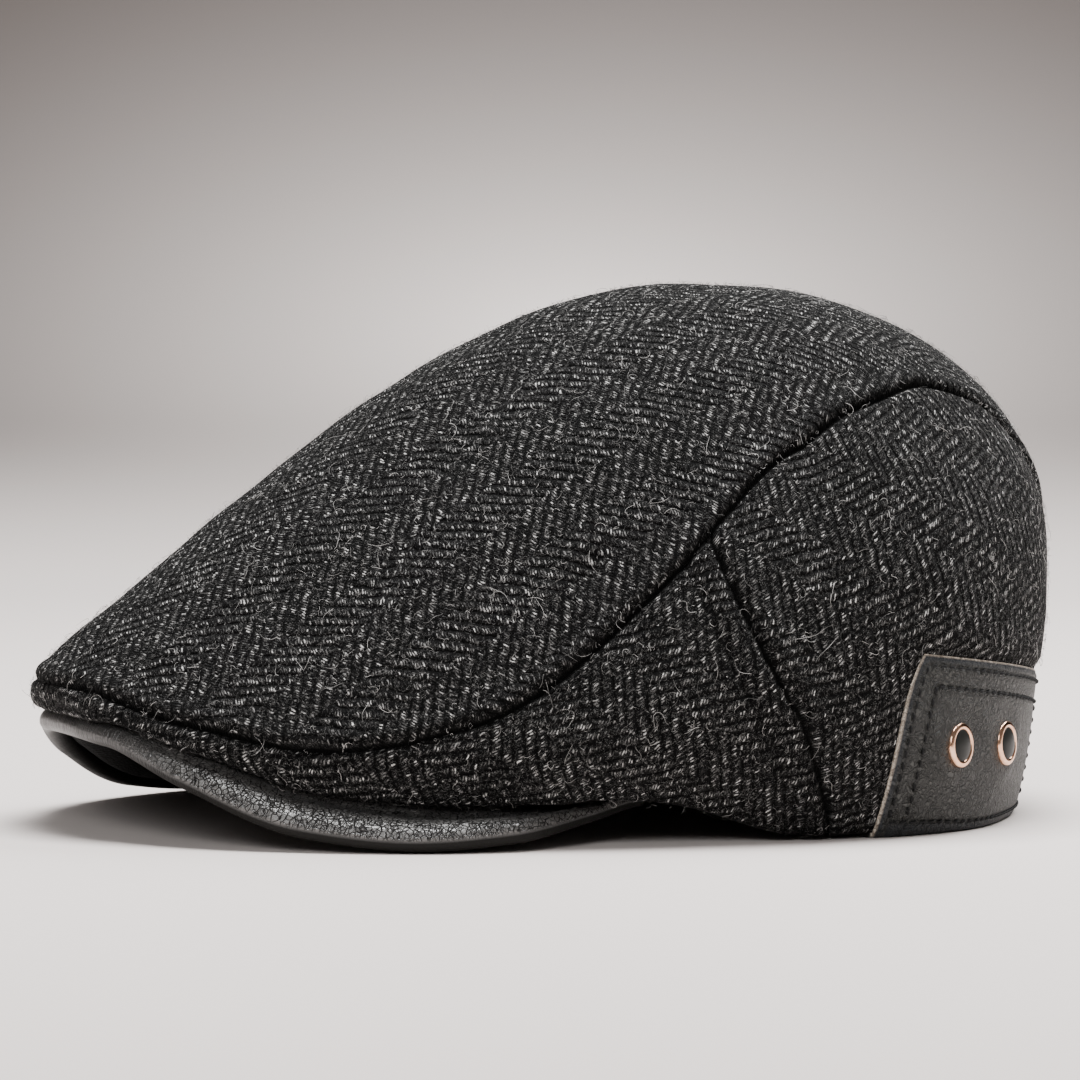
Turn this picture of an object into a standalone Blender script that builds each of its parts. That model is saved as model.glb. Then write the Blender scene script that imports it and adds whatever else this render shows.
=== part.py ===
# Flat cap: a tweed crown of five panels, a leather-covered peak and a studded leather patch at the back.
# Metres. +X is the wearer's left, -Y the front, +Z up, and the cap rests on z = 0.
# A turn is an angle round the crown in degrees: 0 at the front, 90 at the wearer's left, 180 at the back.
# A height on the crown runs from 0 at the rim, through 1 at its widest line, to 2 at the top.

import bmesh
import bpy
import numpy as np
from mathutils import Vector

# Crown
HALF_WIDTH = 0.094
FRONT_REACH = 0.164
BACK_REACH = 0.0845
CROWN_HEIGHT = 0.128
FRONT_SQUARENESS = 2.1
BACK_SQUARENESS = 2.1
CLOTH_WALL = 0.0025
SEAM_GAP = 0.0004
TUCK_POWER = 1.8
RIM_SAG = 1.5

# Side seams, as turns at the rim, the widest line and the top
SIDE_SEAM_RIM = 90.5
SIDE_SEAM_WAIST = 87.0
SIDE_SEAM_TOP = 66.5

# Peak
PEAK_THICKNESS = 0.0056
UNDERSIDE_WALL = 0.0012
ROLL_WIDTH = 0.007
UNDERSIDE_END = 58.0
RECESS_RAMP = 4.0
CLOTH_LEAVES_PEAK = 69.0
PEAK_GAP = 0.0006
CLOTH_MEETS_FLOOR = 88.0

# Back patch. Its front edges lean from the foot's turn to the top corner's, curving most near the corner.
PATCH_WALL = 0.0012
PATCH_GAP = 0.0004
PATCH_SIDE_HEIGHT = 0.0430
PATCH_BACK_HEIGHT = 0.0290
PATCH_FOOT_TURN = 97.5
PATCH_CORNER_TURN = 105.1
PATCH_EDGE_CURVE = 0.4
HEM_WIDTH = 0.006
HEM_ROUNDING = 0.7
HEM_RAMP_START = 92.0
HEM_RAMP_END = 95.6

# Studs
STUD_DIAMETER = 0.0106
STUD_HEIGHT = 0.0021
DOME_SHARE = 0.72
DOME_RISE = 0.0006
DOME_GAP = 0.0002
STUD_LIFT = 0.0004

# Crown sections: waist is the height of the widest line as a share of CROWN_HEIGHT, fullness the power of
# the curve above it, roundness the share of a plain quarter round in it, tuck how far the rim turns in as a
# share of HALF_WIDTH, and seam the height of the top panel's seam on the section.
CROWN_COLUMNS = ("turn", "waist", "fullness", "roundness", "tuck", "seam")
CROWN_SECTIONS = (
    (0, 0.262, 3.50, 0.34, 0.022, 1.03),
    (15, 0.232, 3.15, 0.32, 0.026, 1.08),
    (30, 0.186, 2.70, 0.29, 0.035, 1.08),
    (45, 0.164, 2.25, 0.25, 0.056, 1.04),
    (60, 0.173, 1.81, 0.20, 0.080, 1.11),
    (75, 0.202, 1.42, 0.17, 0.094, 1.28),
    (90, 0.244, 1.12, 0.16, 0.088, 1.45),
    (105, 0.293, 0.96, 0.16, 0.070, 1.48),
    (120, 0.350, 0.86, 0.16, 0.072, 1.48),
    (140, 0.413, 0.81, 0.16, 0.096, 1.40),
    (160, 0.483, 0.80, 0.16, 0.088, 1.07),
    (180, 0.550, 0.76, 0.16, 0.072, 0.80),
)

# Peak sections: overhang past the crown's widest line and depth back from the edge are shares of HALF_WIDTH,
# low (the edge's underside above the floor) and rise (from the edge to the head opening) are shares of
# CROWN_HEIGHT, and thick is a share of PEAK_THICKNESS.
PEAK_COLUMNS = ("turn", "overhang", "low", "thick", "depth", "rise")
PEAK_SECTIONS = (
    (0, -0.040, 0.172, 1.00, 0.545, 0.085),
    (15, -0.014, 0.163, 1.00, 0.535, 0.085),
    (30, 0.030, 0.098, 1.00, 0.490, 0.078),
    (45, 0.070, 0.019, 1.00, 0.405, 0.062),
    (56, 0.085, 0.000, 1.00, 0.320, 0.039),
    (64, 0.040, 0.014, 0.90, 0.235, 0.016),
    (69, -0.120, 0.043, 0.60, 0.120, 0.002),
    (73, -0.200, 0.062, 0.54, 0.064, 0.000),
)

# Studs on each side of the patch: name, turn, and height as a share of the patch's height there
STUD_PLACES = (
    ("front", 112.0, 0.52),
    ("back", 125.2, 0.53),
)

# Mesh steps
FRONT_STEPS = 14
BACK_STEPS = 16
TOP_RINGS = 8
PANEL_RINGS = 8
PEAK_STEPS = 32
ROLL_STEPS = 6
PATCH_STEPS = 28
PATCH_RINGS = 8
STUD_STEPS = 16
PROBE = 0.01


def ease(share):
    """A smooth step from 0 to 1."""
    share = np.clip(share, 0, 1)
    return share * share * (3 - 2 * share)


def column(rows, names, name, turn):
    """One column of a table at any turns: a cubic through the rows that never overshoots them."""
    turns = np.array([row[0] for row in rows], float)
    values = np.array([row[names.index(name)] for row in rows], float)
    turn = np.clip(turn, turns[0], turns[-1])
    step = np.diff(turns)
    slope = np.diff(values) / step
    before, after = slope[:-1], slope[1:]
    rising = before * after > 0
    safe_before = np.where(rising, before, 1)
    safe_after = np.where(rising, after, 1)
    near = 2 * step[1:] + step[:-1]
    far = step[1:] + 2 * step[:-1]
    tangent = np.zeros(len(turns))
    tangent[1:-1] = np.where(rising, (near + far) / (near / safe_before + far / safe_after), 0)
    row = np.clip(np.searchsorted(turns, turn, side="right") - 1, 0, len(turns) - 2)
    share = (turn - turns[row]) / step[row]
    start = values[row] + (values[row + 1] - values[row]) * ease(share)
    leave = share * (1 - share) ** 2 * step[row] * tangent[row]
    arrive = share**2 * (share - 1) * step[row] * tangent[row + 1]
    return start + leave + arrive


def crown(name, turn):
    """A column of the crown's table, the same on both sides of the cap."""
    return column(CROWN_SECTIONS, CROWN_COLUMNS, name, folded(turn))


def peak(name, turn):
    """A column of the peak's table, the same on both sides of the cap."""
    return column(PEAK_SECTIONS, PEAK_COLUMNS, name, folded(turn))


def folded(turn):
    """The turn's size on either side of the front, from 0 to 180."""
    return 180 - np.abs(180 - np.mod(turn, 360))


def section_centre():
    """The y of the sections' centre, which puts the origin midway between front and back."""
    return (FRONT_REACH - BACK_REACH) / 2


def widest_line(turn):
    """The widest line in plan: its reach from the sections' centre, and the unit direction (x, y) there."""
    angle = np.radians(np.asarray(turn, float))
    ahead = np.cos(angle) > 0
    power = 2 / np.where(ahead, FRONT_SQUARENESS, BACK_SQUARENESS)
    length = np.where(ahead, FRONT_REACH, BACK_REACH)
    x = HALF_WIDTH * np.sign(np.sin(angle)) * np.abs(np.sin(angle)) ** power
    y = -length * np.sign(np.cos(angle)) * np.abs(np.cos(angle)) ** power
    reach = np.hypot(x, y)
    return reach, x / reach, y / reach


def peak_top(turn, inward):
    """The height of the peak's top face at a distance in from its edge."""
    depth = peak("depth", turn) * HALF_WIDTH
    rise = peak("rise", turn) * CROWN_HEIGHT
    edge = peak("low", turn) * CROWN_HEIGHT + peak("thick", turn) * PEAK_THICKNESS
    return edge + rise * np.clip(inward / depth, 0, 1)


def rim_height(turn):
    """The crown's lower edge: on the peak in front, then down to the floor, and over the patch's hem behind."""
    turn = folded(turn)
    seated = np.minimum(turn, CLOTH_LEAVES_PEAK)
    inward = (peak("overhang", seated) + crown("tuck", seated)) * HALF_WIDTH
    on_peak = peak_top(seated, inward) + PEAK_GAP
    gone = np.clip((turn - CLOTH_LEAVES_PEAK) / (CLOTH_MEETS_FLOOR - CLOTH_LEAVES_PEAK), 0, 1)
    over_hem = ease((turn - HEM_RAMP_START) / (HEM_RAMP_END - HEM_RAMP_START))
    return on_peak * (1 - ease(gone**RIM_SAG)) + (PATCH_WALL + SEAM_GAP) * over_hem


def crown_point(turn, height):
    """Points on the crown's outer face."""
    turn, height = np.broadcast_arrays(np.asarray(turn, float), np.asarray(height, float))
    reach, along_x, along_y = widest_line(turn)
    waist = crown("waist", turn) * CROWN_HEIGHT
    below = np.clip(1 - height, 0, 1)
    rise = np.clip(height - 1, 0, 1) * np.pi / 2
    roundness = crown("roundness", turn)
    climb = (1 - roundness) * np.sin(rise) ** crown("fullness", turn) + roundness * np.sin(rise)
    out = reach * np.cos(rise) - crown("tuck", turn) * HALF_WIDTH * below**TUCK_POWER
    z = waist + (CROWN_HEIGHT - waist) * climb + (rim_height(turn) - waist) * below
    return np.stack([along_x * out, section_centre() + along_y * out, z], axis=-1)


def crown_normal(turn, height):
    """Unit normals of the crown's outer face, pointing out. The top's is straight up."""
    turn, height = np.broadcast_arrays(np.asarray(turn, float), np.asarray(height, float))
    low = np.clip(height - PROBE, 0, 2)
    high = np.clip(height + PROBE, 0, 2)
    up = crown_point(turn, high) - crown_point(turn, low)
    across = crown_point(turn + 1, height) - crown_point(turn - 1, height)
    normal = np.cross(across, up)
    size = np.linalg.norm(normal, axis=-1, keepdims=True)
    at_top = height[..., None] > 2 - PROBE
    return np.where(at_top, (0.0, 0.0, 1.0), normal / np.where(size > 0, size, 1))


def crown_shell(turn, height, offset):
    """The crown's outer face moved out by an offset, or in where it is negative."""
    return crown_point(turn, height) + crown_normal(turn, height) * offset


def unit(vectors):
    """Vectors scaled to length 1."""
    return vectors / np.linalg.norm(vectors, axis=-1, keepdims=True)


def seam_edge(turn, side):
    """The height on the section half a seam gap above (side 1) or below (side -1) the top panel's seam."""
    turn = np.asarray(turn, float)
    seam = crown("seam", turn)
    along = crown_point(turn + 1, crown("seam", turn + 1)) - crown_point(turn - 1, crown("seam", turn - 1))
    steps = np.geomspace(PROBE / 500, PROBE * 3, 60)[:, None]
    moved = crown_point(turn[None, :], seam[None, :] + side * steps) - crown_point(turn, seam)[None, :, :]
    across = np.linalg.norm(np.cross(moved, unit(along)[None, :, :]), axis=-1)
    found = [np.interp(SEAM_GAP / 2, across[:, i], steps[:, 0]) for i in range(len(turn))]
    return seam + side * np.array(found)


def side_seam(height):
    """The turn of the side seam at a height."""
    return np.interp(height, (0, 1, 2), (SIDE_SEAM_RIM, SIDE_SEAM_WAIST, SIDE_SEAM_TOP))


def seam_meeting():
    """The turn where the side seam meets the top panel's seam."""
    turn = SIDE_SEAM_WAIST
    for _ in range(30):
        turn = float(side_seam(crown("seam", turn)))
    return turn


def gap_turn(turn, height):
    """Half a seam gap at this place, as a turn."""
    place = crown_point(turn, height)
    return np.degrees(SEAM_GAP / 2 / np.hypot(place[..., 0], place[..., 1] - section_centre()))


def height_at(turn, z):
    """The height on the section where the crown's face is z above the floor."""
    steps = np.linspace(0, 2, 401)
    return float(np.interp(z, crown_point(turn, steps)[:, 2], steps))


def colour_of(name, colour, roughness, metallic=0.0):
    """A plain material."""
    material = bpy.data.materials.new(name)
    material.use_nodes = True
    shader = material.node_tree.nodes["Principled BSDF"]
    shader.inputs["Base Color"].default_value = (*colour, 1.0)
    shader.inputs["Roughness"].default_value = roughness
    shader.inputs["Metallic"].default_value = metallic
    return material


def add_object(name, body, material):
    """Turns a bmesh into a named, smoothly shaded object with its faces pointing out."""
    bmesh.ops.remove_doubles(body, verts=body.verts, dist=1e-7)
    bmesh.ops.dissolve_degenerate(body, edges=body.edges, dist=1e-8)
    bmesh.ops.recalc_face_normals(body, faces=body.faces)
    mesh = bpy.data.meshes.new(name)
    body.to_mesh(mesh)
    body.free()
    mesh.materials.append(material)
    mesh.shade_smooth()
    mesh.set_sharp_from_angle(angle=np.radians(40))
    thing = bpy.data.objects.new(name, mesh)
    bpy.context.scene.collection.objects.link(thing)
    return thing


def strip_faces(body, grid, wrap=False):
    """Quads over a grid of bmesh vertices, joined back to its first column where it wraps."""
    columns = len(grid[0])
    for row, next_row in zip(grid[:-1], grid[1:]):
        for i in range(columns if wrap else columns - 1):
            j = (i + 1) % columns
            body.faces.new((row[i], row[j], next_row[j], next_row[i]))


def grid_of(body, points):
    """Bmesh vertices for an array of points with rows and columns."""
    return [[body.verts.new(point) for point in row] for row in points]


def walled(name, outer, inner, material):
    """A solid between two grids of points, closed round all four borders."""
    body = bmesh.new()
    outer, inner = grid_of(body, outer), grid_of(body, inner)
    strip_faces(body, outer)
    strip_faces(body, inner)
    strip_faces(body, [outer[0], inner[0]])
    strip_faces(body, [outer[-1], inner[-1]])
    strip_faces(body, [[row[0] for row in outer], [row[0] for row in inner]])
    strip_faces(body, [[row[-1] for row in outer], [row[-1] for row in inner]])
    return add_object(name, body, material)


def side_turns():
    """Turns of the mesh columns from front to back on the wearer's left, meeting the side seam's top end."""
    meeting = seam_meeting()
    ahead = np.linspace(0, meeting, FRONT_STEPS + 1)
    behind = np.linspace(meeting, 180, BACK_STEPS + 1)
    return np.concatenate([ahead, behind[1:]])


def make_top_panel(material):
    """The large top panel, from the seam all round up to the highest point."""
    turns = side_turns()
    turns = np.concatenate([turns, 360 - turns[-2:0:-1]])
    climb = np.linspace(0, 1, TOP_RINGS + 1)[:-1, None]
    start = seam_edge(turns, 1)[None, :]
    heights = start + (2 - start) * climb
    body = bmesh.new()
    for offset in (0, -CLOTH_WALL):
        rings = grid_of(body, crown_shell(turns[None, :], heights, offset))
        strip_faces(body, rings, wrap=True)
        pole = body.verts.new((0, section_centre(), CROWN_HEIGHT + offset))
        for i, corner in enumerate(rings[-1]):
            body.faces.new((corner, rings[-1][(i + 1) % len(turns)], pole))
        if offset == 0:
            outer_ring = rings[0]
    strip_faces(body, [outer_ring, rings[0]], wrap=True)
    return add_object("top_panel", body, material)


def top_corner(end):
    """The height where a panel's end, a turn for each height, meets the top seam."""
    height = 1.0
    for _ in range(20):
        height = float(seam_edge([end(height)], -1)[0])
    return height


def make_panel(name, first, last, steps, side, material):
    """A panel from the rim up to the top seam. first and last give its two ends' turns at a height."""
    share = np.linspace(0, 1, steps + 1)[None, :]
    climb = np.linspace(0, 1, PANEL_RINGS + 1)[:, None]
    start = first(top_corner(first) * climb)
    end = last(top_corner(last) * climb)
    turns = start + (end - start) * share
    heights = seam_edge(turns[-1], -1)[None, :] * climb
    turns = turns if side > 0 else 360 - turns
    return walled(name, crown_shell(turns, heights, 0), crown_shell(turns, heights, -CLOTH_WALL), material)


def make_side_panels(material):
    """A front and a back panel on each side, with seams at the front, the sides and the back."""
    for side, word in ((1, "left"), (-1, "right")):
        make_panel(
            f"{word}_front_panel",
            lambda h: gap_turn(0.0, h),
            lambda h: side_seam(h) - gap_turn(side_seam(h), h),
            FRONT_STEPS,
            side,
            material,
        )
        make_panel(
            f"{word}_back_panel",
            lambda h: side_seam(h) + gap_turn(side_seam(h), h),
            lambda h: 180 - gap_turn(180.0, h),
            BACK_STEPS,
            side,
            material,
        )


def peak_place(turn, inward, height):
    """A point of the peak: a distance in from its edge, at a height above the floor."""
    reach, along_x, along_y = widest_line(turn)
    out = reach + peak("overhang", turn) * HALF_WIDTH - inward
    return np.stack([along_x * out, section_centre() + along_y * out, height + 0 * out], axis=-1)


def peak_profile(turn):
    """The board's section at one turn: along the top, round the rolled edge and back below, as points."""
    depth = float(peak("depth", turn)) * HALF_WIDTH
    rise = float(peak("rise", turn)) * CROWN_HEIGHT
    low = float(peak("low", turn)) * CROWN_HEIGHT
    thick = float(peak("thick", turn)) * PEAK_THICKNESS
    radius = thick / 2
    recess = (UNDERSIDE_WALL + SEAM_GAP) * float(1 - ease((folded(turn) - UNDERSIDE_END) / RECESS_RAMP))
    roll = min(ROLL_WIDTH, 0.6 * depth)
    points = [(depth * share, low + thick + rise * share) for share in (1, 0.75, 0.5, 0.3)]
    points.append((radius, low + thick + rise * radius / depth))
    for angle in np.linspace(90, -90, ROLL_STEPS + 1)[1:]:
        tilt = np.radians(angle)
        points.append((radius - radius * np.cos(tilt), low + radius + radius * np.sin(tilt)))
    points.append((roll, low + rise * roll / depth))
    for inward in (roll + SEAM_GAP, (roll + depth) / 2, depth):
        points.append((inward, low + recess + rise * inward / depth))
    return [peak_place(turn, inward, height) for inward, height in points]


def peak_turns(end, steps):
    """Turns from one side to the other, closer together towards the ends."""
    share = np.linspace(-1, 1, steps + 1)
    return end * (1.25 * share - 0.25 * share**3)


def make_peak(material):
    """The leather-covered board with its rolled edge, recessed below for its underside."""
    body = bmesh.new()
    loops = grid_of(body, [peak_profile(turn) for turn in peak_turns(PEAK_SECTIONS[-1][0], PEAK_STEPS)])
    strip_faces(body, loops, wrap=True)
    body.faces.new(loops[0])
    body.faces.new(loops[-1])
    return add_object("peak", body, material)


def make_peak_underside(material):
    """The thin lining under the board, inside the rolled edge."""
    turns = peak_turns(UNDERSIDE_END - 1, PEAK_STEPS - 8)
    depth = peak("depth", turns) * HALF_WIDTH
    rise = peak("rise", turns) * CROWN_HEIGHT
    low = peak("low", turns) * CROWN_HEIGHT
    start = ROLL_WIDTH + 3 * SEAM_GAP
    layers = []
    for lift in (0, UNDERSIDE_WALL):
        rows = []
        for share in (0, 0.5, 1):
            inward = start + (depth - start) * share
            rows.append(peak_place(turns, inward, low + rise * inward / depth + lift))
        layers.append(rows)
    return walled("peak_underside", layers[0], layers[1], material)


def patch_height(turn):
    """The height of the patch's top edge above the floor, falling evenly towards the back."""
    share = (folded(turn) - PATCH_CORNER_TURN) / (180 - PATCH_CORNER_TURN)
    return PATCH_SIDE_HEIGHT + (PATCH_BACK_HEIGHT - PATCH_SIDE_HEIGHT) * share


def make_back_patch(material):
    """The leather patch round the back, whose hem turns in under the cloth's rim."""
    share = np.linspace(0, 1, PATCH_STEPS + 1)[None, :]
    climb = np.linspace(1, 0, PATCH_RINGS + 1)[:, None]
    lean = (1 - PATCH_EDGE_CURVE) * climb + PATCH_EDGE_CURVE * climb**6
    edge = PATCH_FOOT_TURN + (PATCH_CORNER_TURN - PATCH_FOOT_TURN) * lean
    turns = edge + (360 - 2 * edge) * share
    tops = np.array([height_at(turn, patch_height(turn)) for turn in turns[0]])
    heights = tops[None, :] * climb
    outer = crown_shell(turns, heights, PATCH_GAP + PATCH_WALL)
    inner = crown_shell(turns, heights, PATCH_GAP)
    outer[..., 2] = np.maximum(outer[..., 2], PATCH_WALL * HEM_ROUNDING)
    _, along_x, along_y = widest_line(turns[-1])
    outward = np.stack([along_x, along_y, 0 * along_x], axis=-1)
    plan = crown_point(turns[-1], 0.0) * (1, 1, 0)
    hem_outer = [plan + outward * PATCH_WALL * HEM_ROUNDING, plan - outward * HEM_WIDTH]
    hem_inner = [plan + (0, 0, PATCH_WALL), plan - outward * HEM_WIDTH + (0, 0, PATCH_WALL)]
    return walled(
        "back_patch",
        np.concatenate([outer, hem_outer]),
        np.concatenate([inner, hem_inner]),
        material,
    )


def turned(name, profile, material):
    """A solid turned round its own +Z from a profile of (radius, height) points."""
    body = bmesh.new()
    corners = [body.verts.new((radius, 0, height)) for radius, height in profile]
    edges = [body.edges.new(pair) for pair in zip(corners[:-1], corners[1:])]
    if profile[0][0] > 0:
        edges.append(body.edges.new((corners[-1], corners[0])))
    bmesh.ops.spin(
        body,
        geom=corners + edges,
        cent=(0, 0, 0),
        axis=(0, 0, 1),
        angle=2 * np.pi,
        steps=STUD_STEPS,
        use_merge=True,
    )
    return add_object(name, body, material)


def stud_ring_profile():
    """A bevelled ring: flat below, with a sloping bright face inside its outer edge."""
    outer = STUD_DIAMETER / 2
    inner = outer * DOME_SHARE + DOME_GAP
    middle = (outer + inner) / 2
    return [
        (inner, 0),
        (outer, 0),
        (outer, STUD_HEIGHT * 0.55),
        (outer - STUD_HEIGHT * 0.2, STUD_HEIGHT * 0.9),
        (middle, STUD_HEIGHT),
        (inner, STUD_HEIGHT * 0.8),
    ]


def stud_dome_profile():
    """The smooth centre, a shallow dome standing a little above the ring's inner edge."""
    radius = STUD_DIAMETER / 2 * DOME_SHARE
    edge = STUD_HEIGHT * 0.7
    return [
        (0, 0),
        (radius, 0),
        (radius, edge),
        (radius * 0.8, edge + DOME_RISE * 0.45),
        (radius * 0.45, edge + DOME_RISE * 0.85),
        (0, edge + DOME_RISE),
    ]


def make_studs(metal, enamel):
    """Two studs on each side of the patch, each a ring round a dome, standing square to the leather."""
    for word, turn, share in STUD_PLACES:
        for side, hand in ((1, "left"), (-1, "right")):
            here = turn if side > 0 else 360 - turn
            height = height_at(here, patch_height(here) * share)
            normal = Vector(crown_normal(here, height))
            place = Vector(crown_shell(here, height, PATCH_GAP + PATCH_WALL + STUD_LIFT))
            ring = turned(f"{hand}_{word}_stud_ring", stud_ring_profile(), metal)
            dome = turned(f"{hand}_{word}_stud_dome", stud_dome_profile(), enamel)
            for piece in (ring, dome):
                piece.location = place
                piece.rotation_euler = normal.to_track_quat("Z", "Y").to_euler()


def main():
    for thing in list(bpy.data.objects):
        bpy.data.objects.remove(thing, do_unlink=True)
    tweed = colour_of("tweed", (0.035, 0.034, 0.036), 0.95)
    black_leather = colour_of("black_leather", (0.03, 0.03, 0.032), 0.42)
    underside_leather = colour_of("underside_leather", (0.012, 0.012, 0.013), 0.7)
    grey_leather = colour_of("grey_leather", (0.085, 0.085, 0.088), 0.5)
    copper = colour_of("copper_metal", (0.86, 0.56, 0.42), 0.22, 1.0)
    enamel = colour_of("dark_enamel", (0.035, 0.036, 0.04), 0.15)
    make_top_panel(tweed)
    make_side_panels(tweed)
    make_peak(black_leather)
    make_peak_underside(underside_leather)
    make_back_patch(grey_leather)
    make_studs(copper, enamel)


main()
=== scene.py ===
import bpy
import numpy as np
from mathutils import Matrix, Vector


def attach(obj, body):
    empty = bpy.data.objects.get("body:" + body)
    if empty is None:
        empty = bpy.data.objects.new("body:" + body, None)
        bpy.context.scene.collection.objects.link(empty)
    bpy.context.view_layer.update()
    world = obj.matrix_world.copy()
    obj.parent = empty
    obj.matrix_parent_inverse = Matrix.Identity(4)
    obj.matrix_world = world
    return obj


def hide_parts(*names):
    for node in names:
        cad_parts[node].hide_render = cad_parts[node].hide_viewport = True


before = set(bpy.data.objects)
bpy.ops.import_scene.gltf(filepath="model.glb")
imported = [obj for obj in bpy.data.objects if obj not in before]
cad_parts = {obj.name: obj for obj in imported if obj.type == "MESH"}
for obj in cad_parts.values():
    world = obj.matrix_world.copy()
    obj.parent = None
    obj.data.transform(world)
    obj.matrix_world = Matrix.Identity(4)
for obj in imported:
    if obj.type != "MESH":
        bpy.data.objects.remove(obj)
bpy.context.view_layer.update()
print("frame loaded")

# Sizes are metres and turns are degrees round the cap: 0 front, 90 the wearer's left, 180 back.
# Heights on the crown run from 0 at the rim, through 1 at its widest line, to 2 at the top.

crownShape = {
    "halfWidth": 0.094, "frontReach": 0.164, "backReach": 0.0845, "height": 0.128,
    "squareness": 2.1, "tuckPower": 1.8, "rimSag": 1.5, "wall": 0.0025,
    "seamRim": 90.5, "seamWaist": 87.0, "seamTop": 66.5,
    "leavesPeak": 69.0, "meetsFloor": 88.0, "peakGap": 0.0003,
    "columns": ("turn", "waist", "fullness", "roundness", "tuck", "seam"),
    "rows": (
        (0, 0.262, 3.50, 0.34, 0.022, 1.03),
        (15, 0.232, 3.15, 0.32, 0.026, 1.08),
        (30, 0.186, 2.70, 0.29, 0.035, 1.08),
        (45, 0.164, 2.25, 0.25, 0.056, 1.04),
        (60, 0.173, 1.81, 0.20, 0.080, 1.11),
        (75, 0.202, 1.42, 0.17, 0.094, 1.28),
        (90, 0.244, 1.12, 0.16, 0.088, 1.45),
        (105, 0.293, 0.96, 0.16, 0.070, 1.48),
        (120, 0.350, 0.86, 0.16, 0.072, 1.48),
        (140, 0.413, 0.81, 0.16, 0.096, 1.40),
        (160, 0.483, 0.80, 0.16, 0.088, 1.07),
        (180, 0.550, 0.76, 0.16, 0.072, 0.80),
    ),
}

peakShape = {
    "thick": 0.0056, "rollWidth": 0.007, "linerWall": 0.0012, "linerEnd": 58.0,
    "columns": ("turn", "overhang", "low", "thick", "depth", "rise"),
    "rows": (
        (0, -0.040, 0.172, 1.00, 0.545, 0.085),
        (15, -0.014, 0.163, 1.00, 0.535, 0.085),
        (30, 0.030, 0.098, 1.00, 0.490, 0.078),
        (45, 0.070, 0.019, 1.00, 0.405, 0.062),
        (56, 0.085, 0.000, 1.00, 0.320, 0.039),
        (64, 0.040, 0.014, 0.90, 0.235, 0.016),
        (69, -0.120, 0.043, 0.60, 0.120, 0.002),
        (73, -0.200, 0.062, 0.54, 0.064, 0.000),
    ),
}

patchShape = {
    "wall": 0.0012, "sideHeight": 0.0430, "backHeight": 0.0290,
    "footTurn": 97.5, "cornerTurn": 105.1, "edgeCurve": 0.4,
    "press": 0.0010, "bed": 0.0009,         # the cloth under the leather's outer face at its edge, and more inside it
    "sitTop": -0.00035, "sitFoot": 0.0010,  # the leather's outer face against the cloth's free surface
    "outerRow": 0.0025, "innerRow": 0.0073, "sideShare": 0.95, "closeTurn": 152.0,
    "bend": 0.080,           # metres round the crown for each radian of turn, near the patch's ends
    "footLeft": 0.0040, "footBack": 0.0025,
}

studShape = {
    "diameter": 0.0106, "height": 0.0012, "domeShare": 0.70, "domeRise": 0.00075,
    "seat": 0.0056, "seatEnd": 0.0120, "settle": 0.6,   # the leather round a stud turns this share of the way to face as it does
    "places": (("front", 113.0, 0.506, 35.8), ("back", 127.6, 0.515, 42.1)),   # turn, share of the patch's height, way it faces
}


def ease(share):
    # s*s*(3 - 2s), a smooth step from 0 to 1
    share = np.clip(share, 0, 1)
    return share * share * (3 - 2 * share)


def bump(distance, centre, width):
    # exp(-((d - c) / w)^2)
    return np.exp(-(((distance - centre) / width) ** 2))


def folded(turn):
    return 180 - np.abs(180 - np.mod(turn, 360))


def tableValue(shape, name, turn):
    # a cubic between the table's rows that never overshoots them
    turns = np.array([row[0] for row in shape["rows"]], float)
    values = np.array([row[shape["columns"].index(name)] for row in shape["rows"]], float)
    turn = np.clip(folded(turn), turns[0], turns[-1])
    step = np.diff(turns)
    slope = np.diff(values) / step
    before, after = slope[:-1], slope[1:]
    rising = before * after > 0
    near, far = 2 * step[1:] + step[:-1], step[1:] + 2 * step[:-1]
    mean = (near + far) / (near / np.where(rising, before, 1) + far / np.where(rising, after, 1))
    tangent = np.zeros(len(turns))
    tangent[1:-1] = np.where(rising, mean, 0)
    row = np.clip(np.searchsorted(turns, turn, side="right") - 1, 0, len(turns) - 2)
    share = (turn - turns[row]) / step[row]
    start = values[row] + (values[row + 1] - values[row]) * ease(share)
    leave = share * (1 - share) ** 2 * step[row] * tangent[row]
    arrive = share**2 * (share - 1) * step[row] * tangent[row + 1]
    return start + leave + arrive


def crownValue(name, turn):
    return tableValue(crownShape, name, turn)


def peakValue(name, turn):
    return tableValue(peakShape, name, turn)


centreY = (crownShape["frontReach"] - crownShape["backReach"]) / 2


def widestLine(turn):
    # superellipse: x = W sin^p, y = -L cos^p; gives the reach from the centre and the way out
    angle = np.radians(np.asarray(turn, float))
    power = 2 / crownShape["squareness"]
    length = np.where(np.cos(angle) > 0, crownShape["frontReach"], crownShape["backReach"])
    x = crownShape["halfWidth"] * np.sign(np.sin(angle)) * np.abs(np.sin(angle)) ** power
    y = -length * np.sign(np.cos(angle)) * np.abs(np.cos(angle)) ** power
    reach = np.hypot(x, y)
    return reach, x / reach, y / reach


def peakTop(turn, inward):
    # the peak's top face rises evenly from its edge to the head opening
    depth = peakValue("depth", turn) * crownShape["halfWidth"]
    rise = peakValue("rise", turn) * crownShape["height"]
    edge = peakValue("low", turn) * crownShape["height"] + peakValue("thick", turn) * peakShape["thick"]
    return edge + rise * np.clip(inward / depth, 0, 1)


def rimHeight(turn):
    # on the peak in front, then down to the floor
    turn = folded(turn)
    seated = np.minimum(turn, crownShape["leavesPeak"])
    inward = (peakValue("overhang", seated) + crownValue("tuck", seated)) * crownShape["halfWidth"]
    onPeak = peakTop(seated, inward) + crownShape["peakGap"]
    gone = np.clip((turn - crownShape["leavesPeak"]) / (crownShape["meetsFloor"] - crownShape["leavesPeak"]), 0, 1)
    return onPeak * (1 - ease(gone ** crownShape["rimSag"])) + 0.0004


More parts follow.
